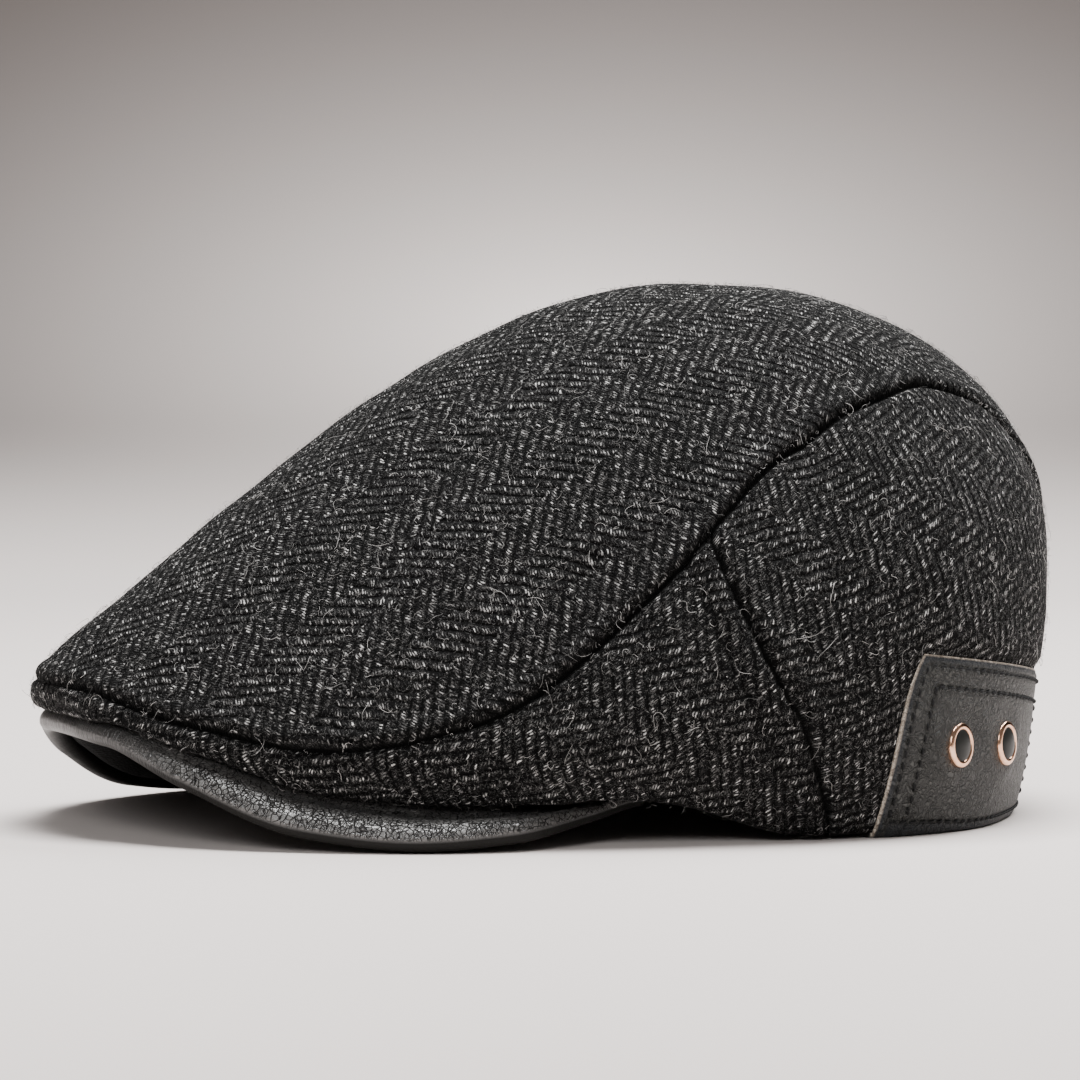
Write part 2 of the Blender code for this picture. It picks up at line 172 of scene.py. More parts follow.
def crownPoint(turn, height):
    # out = reach cos(rise) - tuck below^p, z = waist + climb above the waist, or down to the rim below it
    turn, height = np.broadcast_arrays(np.asarray(turn, float), np.asarray(height, float))
    reach, alongX, alongY = widestLine(turn)
    waist = crownValue("waist", turn) * crownShape["height"]
    below = np.clip(1 - height, 0, 1)
    rise = np.clip(height - 1, 0, 1) * np.pi / 2
    roundness = crownValue("roundness", turn)
    climb = (1 - roundness) * np.sin(rise) ** crownValue("fullness", turn) + roundness * np.sin(rise)
    out = reach * np.cos(rise) - crownValue("tuck", turn) * crownShape["halfWidth"] * below ** crownShape["tuckPower"]
    z = waist + (crownShape["height"] - waist) * climb + (rimHeight(turn) - waist) * below
    return np.stack([alongX * out, centreY + alongY * out, z], axis=-1)


def crownNormal(turn, height):
    # the cross product of the steps along the turn and up the section; straight up at the top
    turn, height = np.broadcast_arrays(np.asarray(turn, float), np.asarray(height, float))
    up = crownPoint(turn, np.clip(height + 0.01, 0, 2)) - crownPoint(turn, np.clip(height - 0.01, 0, 2))
    across = crownPoint(turn + 1, height) - crownPoint(turn - 1, height)
    normal = np.cross(across, up)
    size = np.linalg.norm(normal, axis=-1, keepdims=True)
    return np.where(height[..., None] > 1.985, (0.0, 0.0, 1.0), normal / np.where(size > 0, size, 1))


def unit(vectors):
    return vectors / np.maximum(np.linalg.norm(vectors, axis=-1, keepdims=True), 1e-12)


def patchEdgeTurn(climb):
    lean = (1 - patchShape["edgeCurve"]) * climb + patchShape["edgeCurve"] * climb**6
    return patchShape["footTurn"] + (patchShape["cornerTurn"] - patchShape["footTurn"]) * lean


def patchTopHeight(turn):
    share = (folded(turn) - patchShape["cornerTurn"]) / (180 - patchShape["cornerTurn"])
    return patchShape["sideHeight"] + (patchShape["backHeight"] - patchShape["sideHeight"]) * share


def leatherSit(climb):
    # how far the leather's outer face stands off the cloth's free surface, from its foot to its top
    return patchShape["sitFoot"] + (patchShape["sitTop"] - patchShape["sitFoot"]) * ease(climb)


def waves(point, size, seed):
    # a smooth, repeatable unevenness between -1 and 1: the mean of sine waves in random directions
    rng = np.random.default_rng(seed)
    total = np.zeros(point.shape[:-1])
    for _ in range(7):
        way = unit(rng.normal(size=3))
        total += np.sin(point @ way * 2 * np.pi / (size * rng.uniform(0.6, 1.5)) + rng.uniform(0, 6.28))
    return total / 4


clothFeel = {
    "ripple": 0.00035, "rippleSize": 0.032,
    "pinchTurn": 68.3, "pinchHeight": 1.345, "pinchDepth": 0.0021,
}


def clothPoint(turn, height, relief):
    # the crown's face, moved along its normal by its seams' relief, ripples, the pinch and the patch's pull
    point, normal = crownPoint(turn, height), crownNormal(turn, height)
    near = np.exp(-(((folded(turn) - clothFeel["pinchTurn"]) / 1.5) ** 2) - ((height - clothFeel["pinchHeight"]) / 0.030) ** 2)
    ring = np.exp(-(((folded(turn) - clothFeel["pinchTurn"]) / 5.0) ** 2) - ((height - clothFeel["pinchHeight"]) / 0.10) ** 2)
    onLeft = (np.mod(turn, 360) < 180).astype(float)
    pinch = onLeft * clothFeel["pinchDepth"] * (0.35 * ring - 1.25 * near)
    climb = np.clip(point[..., 2] / patchTopHeight(turn), 0, 1)
    inFromTop = patchTopHeight(turn) - point[..., 2]
    inFromSide = (folded(turn) - patchEdgeTurn(climb)) * np.pi / 180 * crownShape["halfWidth"]
    inside = np.minimum(inFromTop, inFromSide)
    pressed = ease((inside + 0.0040) / 0.0036)
    pull = (patchShape["press"] - leatherSit(climb)) * pressed + patchShape["bed"] * ease((inside - 0.0002) / 0.0030)
    ripple = clothFeel["ripple"] * waves(point, clothFeel["rippleSize"], 5) * (1 - 0.8 * pressed)
    moved = point + normal * (relief + ripple + pinch - pull)[..., None]
    moved[..., 2] = np.maximum(moved[..., 2], 0.0002)
    return moved


# Making meshes from grids

def gridFaces(rows, columns, first=0, wrap=False):
    # quads of a grid of rows x columns points; with wrap its last column joins its first
    i = np.arange(rows - 1)[:, None]
    j = np.arange(columns if wrap else columns - 1)[None, :]
    k = (j + 1) % columns
    quads = np.stack([i * columns + j, i * columns + k, (i + 1) * columns + k, (i + 1) * columns + j], axis=-1)
    return quads.reshape(-1, 4) + first


def makeMesh(name, points, quads, material, uv=None, values=None, sharp=None):
    mesh = bpy.data.meshes.new(name)
    points = np.ascontiguousarray(points.reshape(-1, 3), np.float32)
    quads = np.ascontiguousarray(quads.reshape(-1, 4), np.int32)
    mesh.vertices.add(len(points))
    mesh.vertices.foreach_set("co", points.ravel())
    mesh.loops.add(quads.size)
    mesh.loops.foreach_set("vertex_index", quads.ravel())
    mesh.polygons.add(len(quads))
    mesh.polygons.foreach_set("loop_start", np.arange(0, quads.size, 4, dtype=np.int32))
    mesh.polygons.foreach_set("loop_total", np.full(len(quads), 4, np.int32))
    mesh.update(calc_edges=True)
    if uv is not None:
        layer = mesh.uv_layers.new(name="cut")
        layer.data.foreach_set("uv", uv.reshape(-1, 2)[quads.ravel()].astype(np.float32).ravel())
    for key, value in (values or {}).items():
        attribute = mesh.attributes.new(key, "FLOAT", "POINT")
        attribute.data.foreach_set("value", np.ascontiguousarray(value.ravel(), np.float32))
    mesh.shade_smooth()
    if sharp:
        mesh.set_sharp_from_angle(angle=np.radians(sharp))
    mesh.materials.append(material)
    thing = bpy.data.objects.new(name, mesh)
    bpy.context.scene.collection.objects.link(thing)
    return thing


def finishPiece(thing, slot, *nodes):
    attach(thing, "root")
    if nodes:
        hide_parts(*nodes)
    return thing


def flatten(grid, rounds=900):
    # lays a grid of points flat: it starts from the lengths along the lines, then every edge and diagonal
    # is pulled towards its real length again and again
    rows, columns = grid.shape[:2]
    def lengths(a, b):
        return np.linalg.norm(grid[b] - grid[a], axis=-1)
    s = np.s_
    pairs = ((s[:-1, :], s[1:, :]), (s[:, :-1], s[:, 1:]), (s[:-1, :-1], s[1:, 1:]), (s[1:, :-1], s[:-1, 1:]))
    downs = np.concatenate([np.zeros((1, columns)), np.cumsum(lengths(*pairs[0]), axis=0)])
    overs = np.concatenate([np.zeros((rows, 1)), np.cumsum(lengths(*pairs[1]), axis=1)], axis=1)
    midRow, midColumn = rows // 2, columns // 2
    flat = np.stack([overs - overs[:, midColumn:midColumn + 1], downs - downs[midRow:midRow + 1]], axis=-1)
    rest = [lengths(a, b) for a, b in pairs]
    count = np.zeros((rows, columns, 1))
    for a, b in pairs:
        count[a] += 1
        count[b] += 1
    for _ in range(rounds):
        move = np.zeros_like(flat)
        for (a, b), length in zip(pairs, rest):
            gap = flat[b] - flat[a]
            size = np.maximum(np.linalg.norm(gap, axis=-1), 1e-9)
            push = gap * (0.5 * (1 - length / size))[..., None]
            move[a] += push
            move[b] -= push
        flat += move / count * 1.6
    return flat


def refine(grid, rowShares, columnShares):
    # reads a coarse grid at finer shares of its rows and columns, by cubic interpolation along each
    def along(values, shares):
        place = np.clip(shares, 0, 1) * (len(values) - 1)
        i = np.clip(np.floor(place).astype(int), 0, len(values) - 2)
        t = (place - i)[:, None, None]
        p0, p1 = values[np.maximum(i - 1, 0)], values[i]
        p2, p3 = values[i + 1], values[np.minimum(i + 2, len(values) - 1)]
        return p1 + t / 2 * (p2 - p0 + t * (2 * p0 - 5 * p1 + 4 * p2 - p3 + t * (3 * (p1 - p2) + p3 - p0)))
    return np.swapaxes(along(np.swapaxes(along(grid, rowShares), 0, 1), columnShares), 0, 1)


def turnWeave(flat, grid, row, column, way):
    # turns the flat cloth so that its columns run along a direction in space, at one place of the grid
    r, c = int(row * (grid.shape[0] - 1)), int(column * (grid.shape[1] - 1))
    steps = np.stack([grid[r + 1, c] - grid[r - 1, c], grid[r, c + 1] - grid[r, c - 1]])
    flats = np.stack([flat[r + 1, c] - flat[r - 1, c], flat[r, c + 1] - flat[r, c - 1]])
    share = np.linalg.lstsq(steps.T, np.array(way, float), rcond=None)[0]
    ahead = share @ flats
    ahead = ahead / np.linalg.norm(ahead)
    side = np.array([-ahead[1], ahead[0]])
    return np.stack([flat @ ahead, flat @ side], axis=-1)


# Node helpers

class Nodes:
    def __init__(self, name):
        self.material = bpy.data.materials.new(name)
        self.material.use_nodes = True
        self.tree = self.material.node_tree
        self.shader = self.tree.nodes["Principled BSDF"]

    def add(self, kind, **settings):
        node = self.tree.nodes.new(kind)
        for key, value in settings.items():
            setattr(node, key, value)
        return node

    def plug(self, value, socket):
        if hasattr(value, "is_output"):
            self.tree.links.new(value, socket)
        elif value is not None:
            socket.default_value = value

    def math(self, operation, a, b=None, c=None, clamp=False):
        node = self.add("ShaderNodeMath", operation=operation, use_clamp=clamp)
        for value, socket in zip((a, b, c), node.inputs):
            self.plug(value, socket)
        return node.outputs[0]

    def vector(self, operation, a, b=None, scale=None):
        node = self.add("ShaderNodeVectorMath", operation=operation)
        self.plug(a, node.inputs[0])
        self.plug(b, node.inputs[1])
        self.plug(scale, node.inputs[3])
        return node.outputs[1] if operation in ("LENGTH", "DISTANCE", "DOT_PRODUCT") else node.outputs[0]

    def mix(self, share, a, b, kind="RGBA"):
        node = self.add("ShaderNodeMix", data_type=kind)
        first = {"RGBA": 6, "FLOAT": 2, "VECTOR": 4}[kind]
        self.plug(share, node.inputs[0])
        self.plug(a, node.inputs[first])
        self.plug(b, node.inputs[first + 1])
        return node.outputs[{"RGBA": 2, "FLOAT": 0, "VECTOR": 1}[kind]]

    def step(self, value, low, high, to=(0.0, 1.0), smooth=True):
        node = self.add("ShaderNodeMapRange", interpolation_type="SMOOTHSTEP" if smooth else "LINEAR")
        for key, number in zip(("Value", "From Min", "From Max", "To Min", "To Max"), (value, low, high, *to)):
            self.plug(number, node.inputs[key])
        return node.outputs[0]

    def noise(self, where, scale, detail=2.0, rough=0.5, distortion=0.0, dimensions="3D", output="Fac"):
        node = self.add("ShaderNodeTexNoise", noise_dimensions=dimensions)
        self.plug(where, node.inputs["Vector"])
        for key, number in (("Scale", scale), ("Detail", detail), ("Roughness", rough), ("Distortion", distortion)):
            node.inputs[key].default_value = number
        return node.outputs[output]

    def cells(self, where, scale, feature="DISTANCE_TO_EDGE", randomness=1.0, output="Distance"):
        node = self.add("ShaderNodeTexVoronoi", feature=feature)
        self.plug(where, node.inputs["Vector"])
        node.inputs["Scale"].default_value = scale
        node.inputs["Randomness"].default_value = randomness
        return node.outputs[output]

    def attribute(self, name):
        return self.add("ShaderNodeAttribute", attribute_name=name).outputs["Fac"]

    def place(self):
        return self.add("ShaderNodeTexCoord").outputs["Object"]

    def cut(self):
        return self.add("ShaderNodeUVMap", uv_map="cut").outputs["UV"]

    def relief(self, height, distance, strength=1.0, normal=None):
        node = self.add("ShaderNodeBump")
        node.inputs["Strength"].default_value = strength
        node.inputs["Distance"].default_value = distance
        self.plug(height, node.inputs["Height"])
        self.plug(normal, node.inputs["Normal"])
        return node.outputs["Normal"]

    def surface(self, **sockets):
        for key, value in sockets.items():
            socket = self.shader.inputs[key.replace("_", " ")]
            self.plug((*value, 1.0) if isinstance(value, tuple) and len(value) == 3 and socket.type == "RGBA" else value, socket)
        return self.material


# Materials

tweedLook = {
    "columnWidth": 11.0, "ribPitch": 2.65, "stitchLength": 0.70, "slant": 1.5,   # millimetres, and stitches
    "dark": (0.0026, 0.0026, 0.0027), "mid": (0.016, 0.0158, 0.0155), "pale": (0.94, 0.925, 0.905),
    "relief": 0.0012,
}


def makeTweed():
    n = Nodes("herringboneTweed")
    look = tweedLook
    flat = n.vector("SCALE", n.cut(), scale=1000.0)
    wander = n.vector("SUBTRACT", n.noise(flat, 0.16, 2.0, output="Color"), (0.5, 0.5, 0.5))
    flat = n.vector("ADD", flat, n.vector("SCALE", wander, scale=1.8))
    shake = n.vector("SUBTRACT", n.noise(flat, 0.9, 3.0, 0.6, output="Color"), (0.5, 0.5, 0.5))
    flat = n.vector("ADD", flat, n.vector("SCALE", shake, scale=0.70))
    parts = n.add("ShaderNodeSeparateXYZ")
    n.plug(flat, parts.inputs[0])
    x, y = parts.outputs[0], parts.outputs[1]
    column = n.math("FLOOR", n.math("DIVIDE", y, look["columnWidth"]))
    across = n.math("PINGPONG", y, look["columnWidth"])
    ribPlace = n.math("ADD", n.math("DIVIDE", n.math("ADD", x, across), look["ribPitch"] * 2**0.5),
                      n.math("MULTIPLY", column, 0.5))
    rib = n.math("FLOOR", ribPlace)
    inRib = n.math("FRACT", ribPlace)
    along = n.math("MULTIPLY", n.math("SUBTRACT", x, across), 2**-0.5)
    ribKey = n.add("ShaderNodeCombineXYZ")
    n.plug(rib, ribKey.inputs[0])
    n.plug(column, ribKey.inputs[1])
    ribChance = n.add("ShaderNodeTexWhiteNoise", noise_dimensions="3D")
    n.plug(ribKey.outputs[0], ribChance.inputs["Vector"])
    stitchPlace = n.math("ADD", n.math("DIVIDE", along, look["stitchLength"]),
                         n.math("ADD", n.math("MULTIPLY", inRib, look["slant"]), n.math("MULTIPLY", ribChance.outputs[0], 7.0)))
    stitch = n.math("FLOOR", stitchPlace)
    inStitch = n.math("FRACT", stitchPlace)
    key = n.add("ShaderNodeCombineXYZ")
    for value, socket in zip((rib, stitch, column), key.inputs):
        n.plug(value, socket)
    chance = n.add("ShaderNodeTexWhiteNoise", noise_dimensions="3D")
    n.plug(key.outputs[0], chance.inputs["Vector"])
    draws = n.add("ShaderNodeSeparateColor")
    n.plug(chance.outputs["Color"], draws.inputs[0])
    ribHigh = n.math("SINE", n.math("MULTIPLY", inRib, 3.14159))
    stitchHigh = n.math("SINE", n.math("MULTIPLY", inStitch, 3.14159))
    fine = n.noise(flat, 3.4, 3.0, 0.6, 0.6)
    high = n.math("MULTIPLY", n.math("POWER", ribHigh, 0.8), n.math("MULTIPLY_ADD", stitchHigh, 0.45, 0.55))
    high = n.math("MULTIPLY_ADD", fine, 0.30, high)
    # yarn colour: most stitches near black, with one pale slanted fleck near the crest of each luckier stitch, partly
    # pale fibre and partly a painted highlight on the crest
    patchy = n.step(n.noise(flat, 0.34, 3.0, 0.6), 0.32, 0.66, (0.55, 1.10))
    luck = n.math("MULTIPLY", chance.outputs[0], patchy)
    body = n.mix(n.math("MULTIPLY", n.step(luck, 0.05, 0.9), n.step(fine, 0.35, 0.7)), (*look["dark"], 1.0), (*look["mid"], 1.0))
    off = n.math("ABSOLUTE", n.math("SUBTRACT", inRib, n.math("MULTIPLY_ADD", draws.outputs[1], 0.28, 0.36)))
    reach = n.math("MULTIPLY_ADD", draws.outputs[2], 0.13, 0.12)
    fleckAndGlint = n.math("MULTIPLY", n.step(stitchHigh, 0.52, 0.92), n.step(n.math("DIVIDE", off, reach), 0.5, 1.2, (1.0, 0.0)))
    fleckAndGlint = n.math("MULTIPLY", fleckAndGlint, n.math("POWER", n.step(luck, 0.12, 0.92, smooth=False), 2.6))
    fleckAndGlint = n.math("MULTIPLY", fleckAndGlint, n.step(fine, 0.38, 0.56, (0.15, 1.0)))
    # tiny curls make the yarn mottled between the flecks
    tiny = n.math("ABSOLUTE", n.math("SUBTRACT", n.noise(n.vector("ADD", flat, (7.0, 3.0, 9.0)), 1.6, 1.0, 0.5, 0.9), 0.5))
    tiny = n.math("MULTIPLY", n.step(tiny, 0.005, 0.032, (1.0, 0.0)), n.step(n.noise(flat, 1.2, 1.0), 0.47, 0.60))
    body = n.mix(n.math("MULTIPLY", tiny, 0.36), body, (0.50, 0.49, 0.48, 1.0))
    # pale fibre and painted highlight together, laid on the stitch crests
    body = n.mix(fleckAndGlint, body, (*look["pale"], 1.0))
    # painted shade: the grooves between the ribs are coloured near black
    body = n.mix(n.step(ribHigh, 0.12, 0.70, (0.95, 0.0)), body, (0.0008, 0.0008, 0.0008, 1.0))
    # loose fibres lying on the cloth: thin lines where a twisting noise crosses its middle
    curl = n.math("ABSOLUTE", n.math("SUBTRACT", n.noise(flat, 0.50, 1.0, 0.5, 1.1), 0.5))
    line = n.math("MULTIPLY", n.step(curl, 0.002, 0.010, (1.0, 0.0)), n.step(n.noise(flat, 0.42, 1.0), 0.55, 0.62))
    curlFine = n.math("ABSOLUTE", n.math("SUBTRACT", n.noise(n.vector("ADD", flat, (31.0, 17.0, 5.0)), 1.15, 1.0, 0.5, 0.9), 0.5))
    lineFine = n.math("MULTIPLY", n.step(curlFine, 0.006, 0.026, (1.0, 0.0)), n.step(n.noise(flat, 1.0, 1.0), 0.50, 0.58))
    hair = n.math("MAXIMUM", n.math("MULTIPLY", line, 0.50), n.math("MULTIPLY", lineFine, 0.36))
    body = n.mix(hair, body, (0.50, 0.49, 0.48, 1.0))
    # the seam attribute darkens the sewn lines themselves and also carries painted shade beside the top seam, along the
    # cloth's foot and on the lip under the rim
    body = n.mix(n.attribute("seam"), body, (0.0010, 0.0010, 0.0010, 1.0))
    total = n.math("MULTIPLY_ADD", hair, 0.30, high)
    return n.surface(Base_Color=body, Roughness=0.9, Specular_IOR_Level=0.06, Sheen_Weight=0.012, Sheen_Roughness=0.5,
                     Normal=n.relief(total, look["relief"]))


peakLook = {
    "crackScale": 720.0, "crackDepth": 0.00055,
    "smooth": (0.040, 0.039, 0.038), "shaded": (0.0110, 0.0105, 0.0098),   # the roll's front, and painted shade on the roll below its middle
    "cellSheenDark": (0.032, 0.031, 0.029), "cellSheenPale": (0.130, 0.126, 0.121),
}


def makePeakLeather():
    # crackled grain on top, fading to a smooth rolled edge with fine radial creases near the front
    n = Nodes("crackledBlackLeather")
    where = n.place()
    bent = n.vector("ADD", where, n.vector("SCALE", n.vector("SUBTRACT", n.noise(where, 500.0, 2.0, output="Color"), (0.5, 0.5, 0.5)), scale=0.0010))
    crackWide = n.step(n.cells(bent, peakLook["crackScale"]), 0.01, 0.10, (0.1, 1.0))
    crackFine = n.step(n.cells(bent, peakLook["crackScale"] * 2.0), 0.01, 0.13, (0.35, 1.0))
    fineShare = n.step(n.noise(where, 260.0, 2.0), 0.38, 0.55)
    crack = n.math("MULTIPLY", crackWide, n.mix(fineShare, 1.0, crackFine, kind="FLOAT"))
    amount, below = n.attribute("crackle"), n.attribute("below")
    pebble = n.noise(where, 1500.0, 3.0, 0.6)
    crease = n.math("MULTIPLY", n.noise(n.cut(), 1.0, 2.0, 0.5), n.attribute("crease"))
    high = n.math("MULTIPLY_ADD", pebble, 0.25, n.math("MULTIPLY", crack, amount))
    high = n.math("ADD", high, n.math("MULTIPLY", crease, 1.1))
    rough = n.math("MULTIPLY_ADD", amount, 0.03, n.step(n.noise(where, 150.0, 3.0), 0.3, 0.7, (0.28, 0.38)))
    rough = n.math("MULTIPLY_ADD", below, 0.22, rough)
    tone = n.mix(n.step(n.noise(where, 60.0, 3.0), 0.35, 0.7, (0.0, 0.3)), (*peakLook["smooth"], 1.0), (0.10, 0.098, 0.095, 1.0))
    # painted shade: thin dark lines along the creases
    tone = n.mix(n.math("MULTIPLY", n.step(crease, 0.34, 0.46, (0.0, 0.7)), n.step(crease, 0.50, 0.60, (1.0, 0.0))), tone, (0.010, 0.010, 0.010, 1.0))
    # painted shade: the roll's lower half, facing the floor, takes the darker shaded tone
    tone = n.mix(below, tone, (*peakLook["shaded"], 1.0))
    # painted sheen: the crackled cells are coloured paler than the black leather, standing in for the satin light they
    # catch
    cellSheenTone = n.mix(n.noise(bent, 700.0, 2.0), (*peakLook["cellSheenDark"], 1.0), (*peakLook["cellSheenPale"], 1.0))
    tone = n.mix(amount, tone, cellSheenTone)
    gap = n.math("MULTIPLY", amount, n.math("SUBTRACT", 1.0, crack))
    tone = n.mix(gap, tone, (0.004, 0.004, 0.004, 1.0))
    gloss = n.math("MULTIPLY", n.math("SUBTRACT", 1.0, gap), n.math("MULTIPLY_ADD", below, -0.90, 1.0))
    return n.surface(Base_Color=tone, Roughness=rough, Specular_IOR_Level=gloss,
                     Normal=n.relief(high, peakLook["crackDepth"]))


def makeLinerLeather():
    n = Nodes("peakUndersideLeather")
    where = n.place()
    grain = n.math("MULTIPLY_ADD", n.cells(where, 900.0), 0.8, n.noise(where, 1400.0, 3.0))
    tone = n.mix(n.noise(where, 45.0, 3.0), (0.0022, 0.0022, 0.0024, 1.0), (0.0055, 0.0055, 0.0058, 1.0))
    return n.surface(Base_Color=tone, Roughness=n.step(n.noise(where, 80.0, 2.0), 0.3, 0.7, (0.55, 0.70)),
                     Specular_IOR_Level=0.14, Normal=n.relief(grain, 0.00025))


def makePatchLeather():
    # fine wrinkled grain with painted shade in its wrinkles and along the stitching, paler where it is rubbed; raw
    # edges are cream
    n = Nodes("greyPatchLeather")
    where = n.place()
    bent = n.vector("ADD", where, n.vector("SCALE", n.vector("SUBTRACT", n.noise(where, 300.0, 2.0, output="Color"), (0.5, 0.5, 0.5)), scale=0.0011))
    # wrinkles: thin dark lines where a twisting noise crosses its middle, at two sizes
    wide = n.math("ABSOLUTE", n.math("SUBTRACT", n.noise(bent, 430.0, 1.0, 0.5, 0.6), 0.5))
    narrow = n.math("ABSOLUTE", n.math("SUBTRACT", n.noise(n.vector("ADD", bent, (0.4, 0.2, 0.7)), 800.0, 1.0, 0.5, 0.5), 0.5))
    wrinkle = n.math("MINIMUM", n.step(wide, 0.01, 0.10), n.step(narrow, 0.0, 0.13, (0.20, 1.0)))
    fine = n.noise(where, 2300.0, 3.0, 0.6)
    # rows of stitches sink a groove into the leather, with painted shade along it
    rows = n.math("MINIMUM", n.math("ABSOLUTE", n.attribute("outerRow")), n.math("ABSOLUTE", n.attribute("innerRow")))
    rows = n.math("MINIMUM", rows, n.math("ABSOLUTE", n.attribute("footRow")))
    groove = n.step(rows, 0.00012, 0.00060, (1.0, 0.0))
    high = n.math("MULTIPLY_ADD", groove, -0.5, n.math("MULTIPLY_ADD", fine, 0.22, wrinkle))
    tone = n.mix(n.step(n.noise(where, 70.0, 3.0), 0.35, 0.7), (0.040, 0.0410, 0.0382, 1.0), (0.050, 0.0510, 0.0475, 1.0))
    # painted shade: the wrinkles' creases are coloured darker
    tone = n.mix(n.math("MULTIPLY", n.math("SUBTRACT", 1.0, wrinkle), 0.70), tone, (0.007, 0.007, 0.007, 1.0))
    edge = n.attribute("edge")
    tone = n.mix(n.step(edge, 0.0004, 0.0022, (0.65, 0.0)), tone, (0.020, 0.025, 0.033, 1.0))
    tone = n.mix(n.step(n.attribute("footRow"), -0.0008, -0.0002, (0.60, 0.0)), tone, (0.014, 0.017, 0.022, 1.0))
    # painted shade along the stitching grooves
    tone = n.mix(n.math("MULTIPLY", groove, 0.18), tone, (0.003, 0.003, 0.003, 1.0))
    speck = n.noise(where, 1500.0, 3.0, 0.7)
    raw = n.mix(n.step(speck, 0.35, 0.65), (0.34, 0.28, 0.22, 1.0), (0.72, 0.64, 0.54, 1.0))
    tone = n.mix(n.attribute("raw"), tone, raw)
    return n.surface(Base_Color=tone, Roughness=n.step(fine, 0.3, 0.7, (0.46, 0.58)), Specular_IOR_Level=0.32,
                     Normal=n.relief(high, 0.00055))


def makeThread():
    n = Nodes("darkThread")
    where = n.place()
    return n.surface(Base_Color=n.mix(n.noise(where, 900.0, 2.0), (0.003, 0.003, 0.0032, 1.0), (0.012, 0.012, 0.013, 1.0)),
                     Roughness=0.70, Specular_IOR_Level=0.25,Normal=n.relief(n.noise(where, 3500.0, 2.0), 0.0001))


def makeCopper():
    n = Nodes("roseCopper")
    where = n.place()
    tone = n.mix(n.step(n.noise(where, 500.0, 3.0), 0.3, 0.75), (0.80, 0.45, 0.29, 1.0), (0.91, 0.60, 0.42, 1.0))
    return n.surface(Base_Color=tone, Metallic=1.0, Roughness=n.step(n.noise(where, 1600.0, 3.0), 0.3, 0.7, (0.12, 0.24)),
                     Normal=n.relief(n.noise(where, 2600.0, 3.0), 0.00002))


def makeEnamel():
    n = Nodes("darkGlossEnamel")
    where = n.place()
    tone = n.mix(n.noise(where, 400.0, 3.0), (0.014, 0.015, 0.014, 1.0), (0.022, 0.023, 0.021, 1.0))
    return n.surface(Base_Color=tone, Roughness=n.step(n.noise(where, 1200.0, 3.0), 0.3, 0.7, (0.28, 0.36)),
                     Specular_IOR_Level=0.11)


def makeFibre(name, dark, pale):
    n = Nodes(name)
    tone = n.mix(n.step(n.noise(n.place(), 160.0, 2.0), 0.35, 0.65), (*dark, 1.0), (*pale, 1.0))
    return n.surface(Base_Color=tone, Roughness=0.7, Specular_IOR_Level=0.3)


def makeInsideCloth():
    n = Nodes("insideCloth")
    parts = n.add("ShaderNodeSeparateXYZ")
    n.plug(n.vector("SCALE", n.place(), scale=1000.0), parts.inputs[0])
    weave = n.math("SINE", n.math("MULTIPLY", n.math("ADD", n.math("ADD", parts.outputs[0], parts.outputs[1]), parts.outputs[2]), 7.0))
    tone = n.mix(n.noise(n.place(), 120.0, 3.0), (0.008, 0.008, 0.0085, 1.0), (0.016, 0.016, 0.017, 1.0))
    return n.surface(Base_Color=tone, Roughness=0.8, Sheen_Weight=0.15,
                     Normal=n.relief(n.math("MULTIPLY_ADD", n.noise(n.place(), 2500.0, 2.0), 1.2, weave), 0.00012))


def makeStage():
    # pale pinkish floor that runs up into a taupe backdrop, with a painted pool of light on the middle of the wall,
    # darker away from it
    n = Nodes("paleSweep")
    away = n.vector("MULTIPLY", n.vector("SUBTRACT", n.place(), stageLook["paintedGlowAt"]), (1.0, 1.0, 2.0))
    share = n.math("SUBTRACT", 1.0, n.math("EXPONENT", n.math("DIVIDE", n.vector("LENGTH", away), stageLook["fade"])))
    share = n.math("MULTIPLY", share, n.step(n.vector("DOT_PRODUCT", n.place(), (0.0, 0.0, 1.0)), -0.02, 0.06))
    # painted light: the sweep's tone falls off with distance from a point on the wall
    tone = n.mix(share, (0.93, 0.855, 0.82, 1.0), (0.012, 0.004, 0.001, 1.0))
    # seen from behind or below, the sweep isn't in the way
    front = n.math("SUBTRACT", 1.0, n.add("ShaderNodeNewGeometry").outputs["Backfacing"])
    return n.surface(Base_Color=tone, Roughness=0.75, Specular_IOR_Level=0.2, Alpha=front,
                     Normal=n.relief(n.noise(n.place(), 260.0, 3.0), 0.00006))


stageLook = {
    "turn": 20.6, "rise": 3.1, "distance": 1.5, "lens": 205.0,
    "aimRight": -0.0243, "aimUp": 0.0656, "aimAhead": 0.02695,
    "paintedGlowAt": (-1.06, 0.42, 0.09), "fade": -0.184,
}

tweed = makeTweed()
peakLeather = makePeakLeather()
linerLeather = makeLinerLeather()
patchLeather = makePatchLeather()
thread = makeThread()
copper = makeCopper()
enamel = makeEnamel()
insideCloth = makeInsideCloth()
paleFibre = makeFibre("paleWoolFibre", (0.06, 0.058, 0.056), (0.52, 0.505, 0.49))
darkFibre = makeFibre("darkWoolFibre", (0.010, 0.010, 0.011), (0.10, 0.098, 0.096))
print("materials made")

# Top panel

topPanel = {"steps": 245, "coarse": 48, "innerSteps": 60, "roll": 0.0008, "groove": 0.0017}


def squareToTurn(a, b):
    # concentric map of a square: rings of the square become turns 0..360 and a share 0..1 from the top to the seam
    big = np.maximum(np.maximum(np.abs(a), np.abs(b)), 1e-9)
    ends = np.abs(b) >= np.abs(a)
    front = 45 * a / big
    turn = np.where(ends, np.where(b < 0, front, 180 - front), np.where(a > 0, 90 + 45 * b / big, 270 - 45 * b / big))
    return turn, np.maximum(np.abs(a), np.abs(b))


def topGrid(shares):
    a, b = np.meshgrid(shares, shares)
    turn, out = squareToTurn(a, b)
    seam = crownValue("seam", turn)
    return turn, 2 - (2 - seam) * out, out


